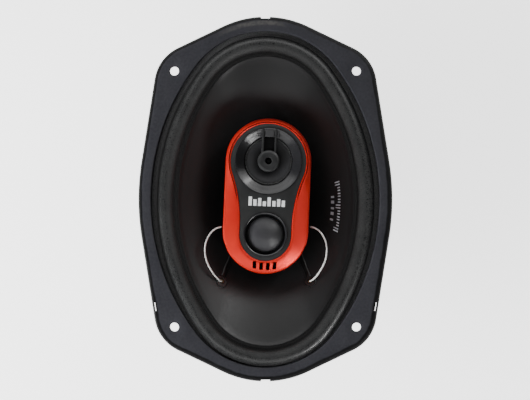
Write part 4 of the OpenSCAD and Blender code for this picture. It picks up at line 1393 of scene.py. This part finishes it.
def pod_mount():
    """The post that carries the pod, and the cross-recess screw and washer that hold it from behind."""
    turned_part("pod_post_stem", "pod_post", fillet=0.6, profile=[
        (2.02, -50.6), (2.02, -36), (0.01, -36), (0.01, POD_REAR), (12, POD_REAR), (12, POD_REAR - 2.2),
        (8.4, POD_REAR - 4.0), (6.5, POD_REAR - 7), (6.5, -50.6)])
    profile = [(0, -38), (1.9, -38), (2.0, -39), (2.0, -76.8), (3.8, -76.8), (3.8, -79.2), (3.0, -80.2),
               (0, -80.2)]
    screw = lathe("pod_screw_body", profile, look_of("pod_screw"), fillet=0.3, steps=48)
    cross = []
    for x, y in ((2.3, 0.45), (0.45, 2.3)):
        bar = Shell()
        bar.box((AXIS[0] - x, AXIS[1] - y, -82), (AXIS[0] + x, AXIS[1] + y, -78.6), bevel=0.1)
        cross.append(bar.done(f"recess{x}", look_of("pod_screw")))
    cut(screw, cross, 35)
    stand_in(screw, "pod_screw")
    turned_part("pod_washer_ring", "pod_washer", profile=[(2.2, -76.8), (2.2, -76), (5, -76), (5, -76.8)])


def midrange():
    """Bevelled ring, shallow cone and the bridge with its centre boss."""
    at = pod_centre(MID_Y)
    bevel = [(15.35, 9.6), (15.5, 9.95)]
    for s in np.linspace(0, 1, 9):
        bevel.append((15.7 + 5.2 * s, 10.15 + 2.5 * s + 0.02 * math.sin(math.pi * s)))
    profile = bevel + [(21.25, 12.75), (21.42, 12.5), (21.42, 10.8), (16.8, 8.0), (16.8, 4.2), (12.6, 2.3),
                       (6.2, 2.3), (6.2, 3.2), (12.2, 3.2), (15.35, 5.2)]
    ring_part("mid_frame_ring", "mid_frame", profile, at, 160, 35)

    cone_line = [(4.15, 6.9), (4.7, 6.62), (5.6, 6.6), (7.5, 7.05), (10.0, 7.75), (12.6, 8.55), (13.3, 8.72),
                 (14.15, 8.72)]
    thick = 0.35
    profile = [(r, z + thick) for r, z in cone_line] + cone_line[::-1]
    ring_part("mid_cone_body", "mid_cone", profile, at, 96, 40)
    edge = [(14.2, 9.35)] + [(14.25 + s, 9.35 + 0.35 * math.sin(math.pi * s)) for s in np.linspace(0.05, 1, 8)]
    profile = edge + [(r, z - 0.2) for r, z in edge[::-1]]
    soft_ring("mid_edge_ring", "mid_edge", "mid_diaphragm", profile, (14.2, 15.2), look_of("mid_edge"), at)

    stand_in(lathe("mid_bridge_boss", [(2.15, 10.5), (2.15, 13.0), (2.5, 13.3), (5.2, 13.35), (6.6, 13.0),
                                       (7.1, 12.4), (7.1, 10.5)], BRIDGE, at, 96, 0.35), "mid_bridge")
    # A near-black disc in the boss's hole stands in for the shade inside it.
    stand_in(lathe("mid_bridge_hole_shade", [(0, 10.9), (0, 11.5), (1.0, 11.6), (2.13, 10.9)], RECESS_SHADE, at, 48, 0.1),
             "mid_bridge")

    def place(points):
        """Bridge points, measured from the midrange's centre, to the frame."""
        return in_pod(np.asarray(points, float) + [0, MID_Y, 0])

    # The web between the rails is near-black: painted shade in the channel under the bridge.
    for name, material, bevel, boxes in (
            ("arm", BRIDGE, 0.3, [((-4.75, 4.6, 11.5), (-3.35, 20.6, 13.0)),
                                  ((3.35, 4.6, 11.5), (4.75, 20.6, 13.0)),
                                  ((-5.2, 15.4, 10.4), (5.2, 20.6, 11.6))]),
            ("shaded_web", RECESS_SHADE, 0.1, [((-3.4, 6.8, 10.5), (3.4, 15.5, 11.1))]),
            ("pad", BRIDGE, 0.3, [((-2.9, 15.7, 10.8), (2.9, 20.4, 12.75)),
                                  ((4.85, 14.9, 10.8), (6.1, 20.2, 12.7))])):
        shell = Shell()
        for low, high in boxes:
            shell.box(low, high, turn=place, bevel=bevel)
        obj = shell.done(f"mid_bridge_{name}", material)
        if name == "pad":
            paint(obj, "pale", np.ones(len(obj.data.vertices)))
        stand_in(obj, "mid_bridge")


def tweeter():
    """Lipped ring, dark recess and a smooth dome."""
    at = pod_centre(TWEETER_Y)
    profile = [(11.35, 7.1), (13.5, 7.1), (14.2, 7.7), (14.2, 12.35), (14.0, 12.55), (13.75, 12.5),
               (13.1, 12.2), (12.75, 11.5), (12.65, 9.3), (11.6, 8.9), (11.35, 8.7)]
    ring_part("tweeter_frame_ring", "tweeter_frame", rounded(profile, 0.12, 3), at, 128, 40)
    dome_r, dome_h, base, film = 11.15, 3.9, 9.45, 0.22
    ball = (dome_r ** 2 + dome_h ** 2) / (2 * dome_h)
    centre_z = base + dome_h - ball
    angles = np.linspace(0, math.asin(dome_r / ball), 24)
    dome = [(r * math.sin(a), centre_z + r * math.cos(a))
            for r, run in ((ball, angles), (ball - film, angles[::-1])) for a in run]
    ring_part("tweeter_dome_film", "tweeter_dome", dome, at)
    edge = [(11.5 + 1.12 * s, 9.36 + 0.3 * math.sin(math.pi * s)) for s in np.linspace(0, 1, 8)]
    profile = edge + [(r, z - 0.18) for r, z in edge[::-1]]
    # The dome's edge ring is near-black: painted shade in the gap between the dome and the lip.
    soft_ring("tweeter_edge_ring", "tweeter_edge", "tweeter_diaphragm", profile, (11.5, 12.62), RECESS_SHADE, at)


def inner_nodes():
    """The CAD solids inside the pod keep their shape and get their finish."""
    for node, obj in frame["nodes"].items():
        obj.data.materials.clear()
        obj.data.materials.append(look_of(node))


# ---------------------------------------------------------------- stage and light

FLOOR_GLOW = 2.4


def softbox(name, azimuth, tilt, size, radiance, shows="both", distance=1.3, flagged=None, on=()):
    """Rectangular softbox aimed at the speaker: azimuth round +Z from +X, tilt from +Z, in degrees.

    Its size is (along the azimuth, along the tilt). It shows in gloss only, in diffuse shading only, or both.
    on names the only pieces that it lights, and flagged the only pieces that it is kept off.
    """
    a, t = math.radians(azimuth), math.radians(tilt)
    toward = Vector((math.sin(t) * math.cos(a), math.sin(t) * math.sin(a), math.cos(t)))
    across = Vector((-math.sin(a), math.cos(a), 0))
    data = bpy.data.lights.new(name, "AREA")
    data.shape = "RECTANGLE"
    data.size, data.size_y = size
    data.energy = radiance * math.pi * size[0] * size[1]
    lamp = bpy.data.objects.new(name, data)
    turn = Matrix((across, toward.cross(across), toward)).transposed()
    lamp.matrix_world = Matrix.Translation(toward * distance) @ turn.to_4x4()
    lamp.visible_glossy = shows != "diffuse"
    lamp.visible_diffuse = shows != "gloss"
    bpy.context.scene.collection.objects.link(lamp)
    chosen = on or flagged
    if chosen:
        group = bpy.data.collections.new(f"{name}_pieces")
        lamp.light_linking.receiver_collection = group
        for piece in chosen:
            group.objects.link(bpy.data.objects[piece])
        for link in group.collection_objects:
            link.light_linking.link_state = "INCLUDE" if on else "EXCLUDE"


def stage():
    """Pale floor, and a pale wall round it that closes the horizon without lighting the speaker."""
    size, wall_h = 3.0, 3.0
    z = cad_low[2] - 0.0002
    look = Look("floor_pale", rough=0.9, specular=0.1, Emission_Color=(1, 1, 1, 1),
                Emission_Strength=FLOOR_GLOW)
    look.color(look.ramp(look.noise(300.0), (0.90, 0.90, 0.90), (0.93, 0.93, 0.93)))
    corners = np.array([(-size, -size), (size, -size), (size, size), (-size, size)]) / MM
    floor = make("floor", lifted(corners, z / MM), [(0, 1, 2, 3)], look.material)
    hoops = [lifted(circle(0, 0, (size - 0.1) / MM, 64), h / MM) for h in (z, wall_h)]
    wall = from_rings("backdrop", hoops, look.material)
    wall.visible_diffuse = wall.visible_glossy = wall.visible_shadow = False
    floor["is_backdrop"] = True
    wall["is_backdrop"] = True
    world = bpy.data.worlds.new("studio")
    world.use_nodes = True
    world.node_tree.nodes["Background"].inputs["Color"].default_value = (1, 1, 1, 1)
    world.node_tree.nodes["Background"].inputs["Strength"].default_value = 0.09
    bpy.context.scene.world = world
    softbox("upper_right", 50, 46, (0.9, 0.6), 3.6, shows="gloss")
    softbox("window", 45, 54, (0.12, 0.36), 17.0, shows="gloss", flagged=["surround_roll"])
    softbox("lower_right", 312, 54, (0.13, 0.34), 26.0, shows="gloss", flagged=["mid_frame_ring"])
    softbox("kicker", 309, 48, (0.18, 0.3), 36.0, shows="gloss",
            on=["surround_roll", "pod_shell_red", "tweeter_dome_film", "mid_frame_ring"])
    softbox("bottom", 250, 42, (1.1, 0.5), 2.4)
    softbox("top", 112, 48, (1.2, 0.6), 2.8, shows="gloss")
    softbox("fill", 203, 66, (0.64, 0.5), 18.5, shows="diffuse", distance=0.9)


camera()
inner_nodes()
trim_ring()
surround()
basket()
spider()
motor()
terminals()
cone()
cone_marks()
eyelets_and_glue()
voice_coil()
leads()
pod_shell()
pod_face()
pod_mount()
midrange()
tweeter()
stage()

low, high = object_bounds()
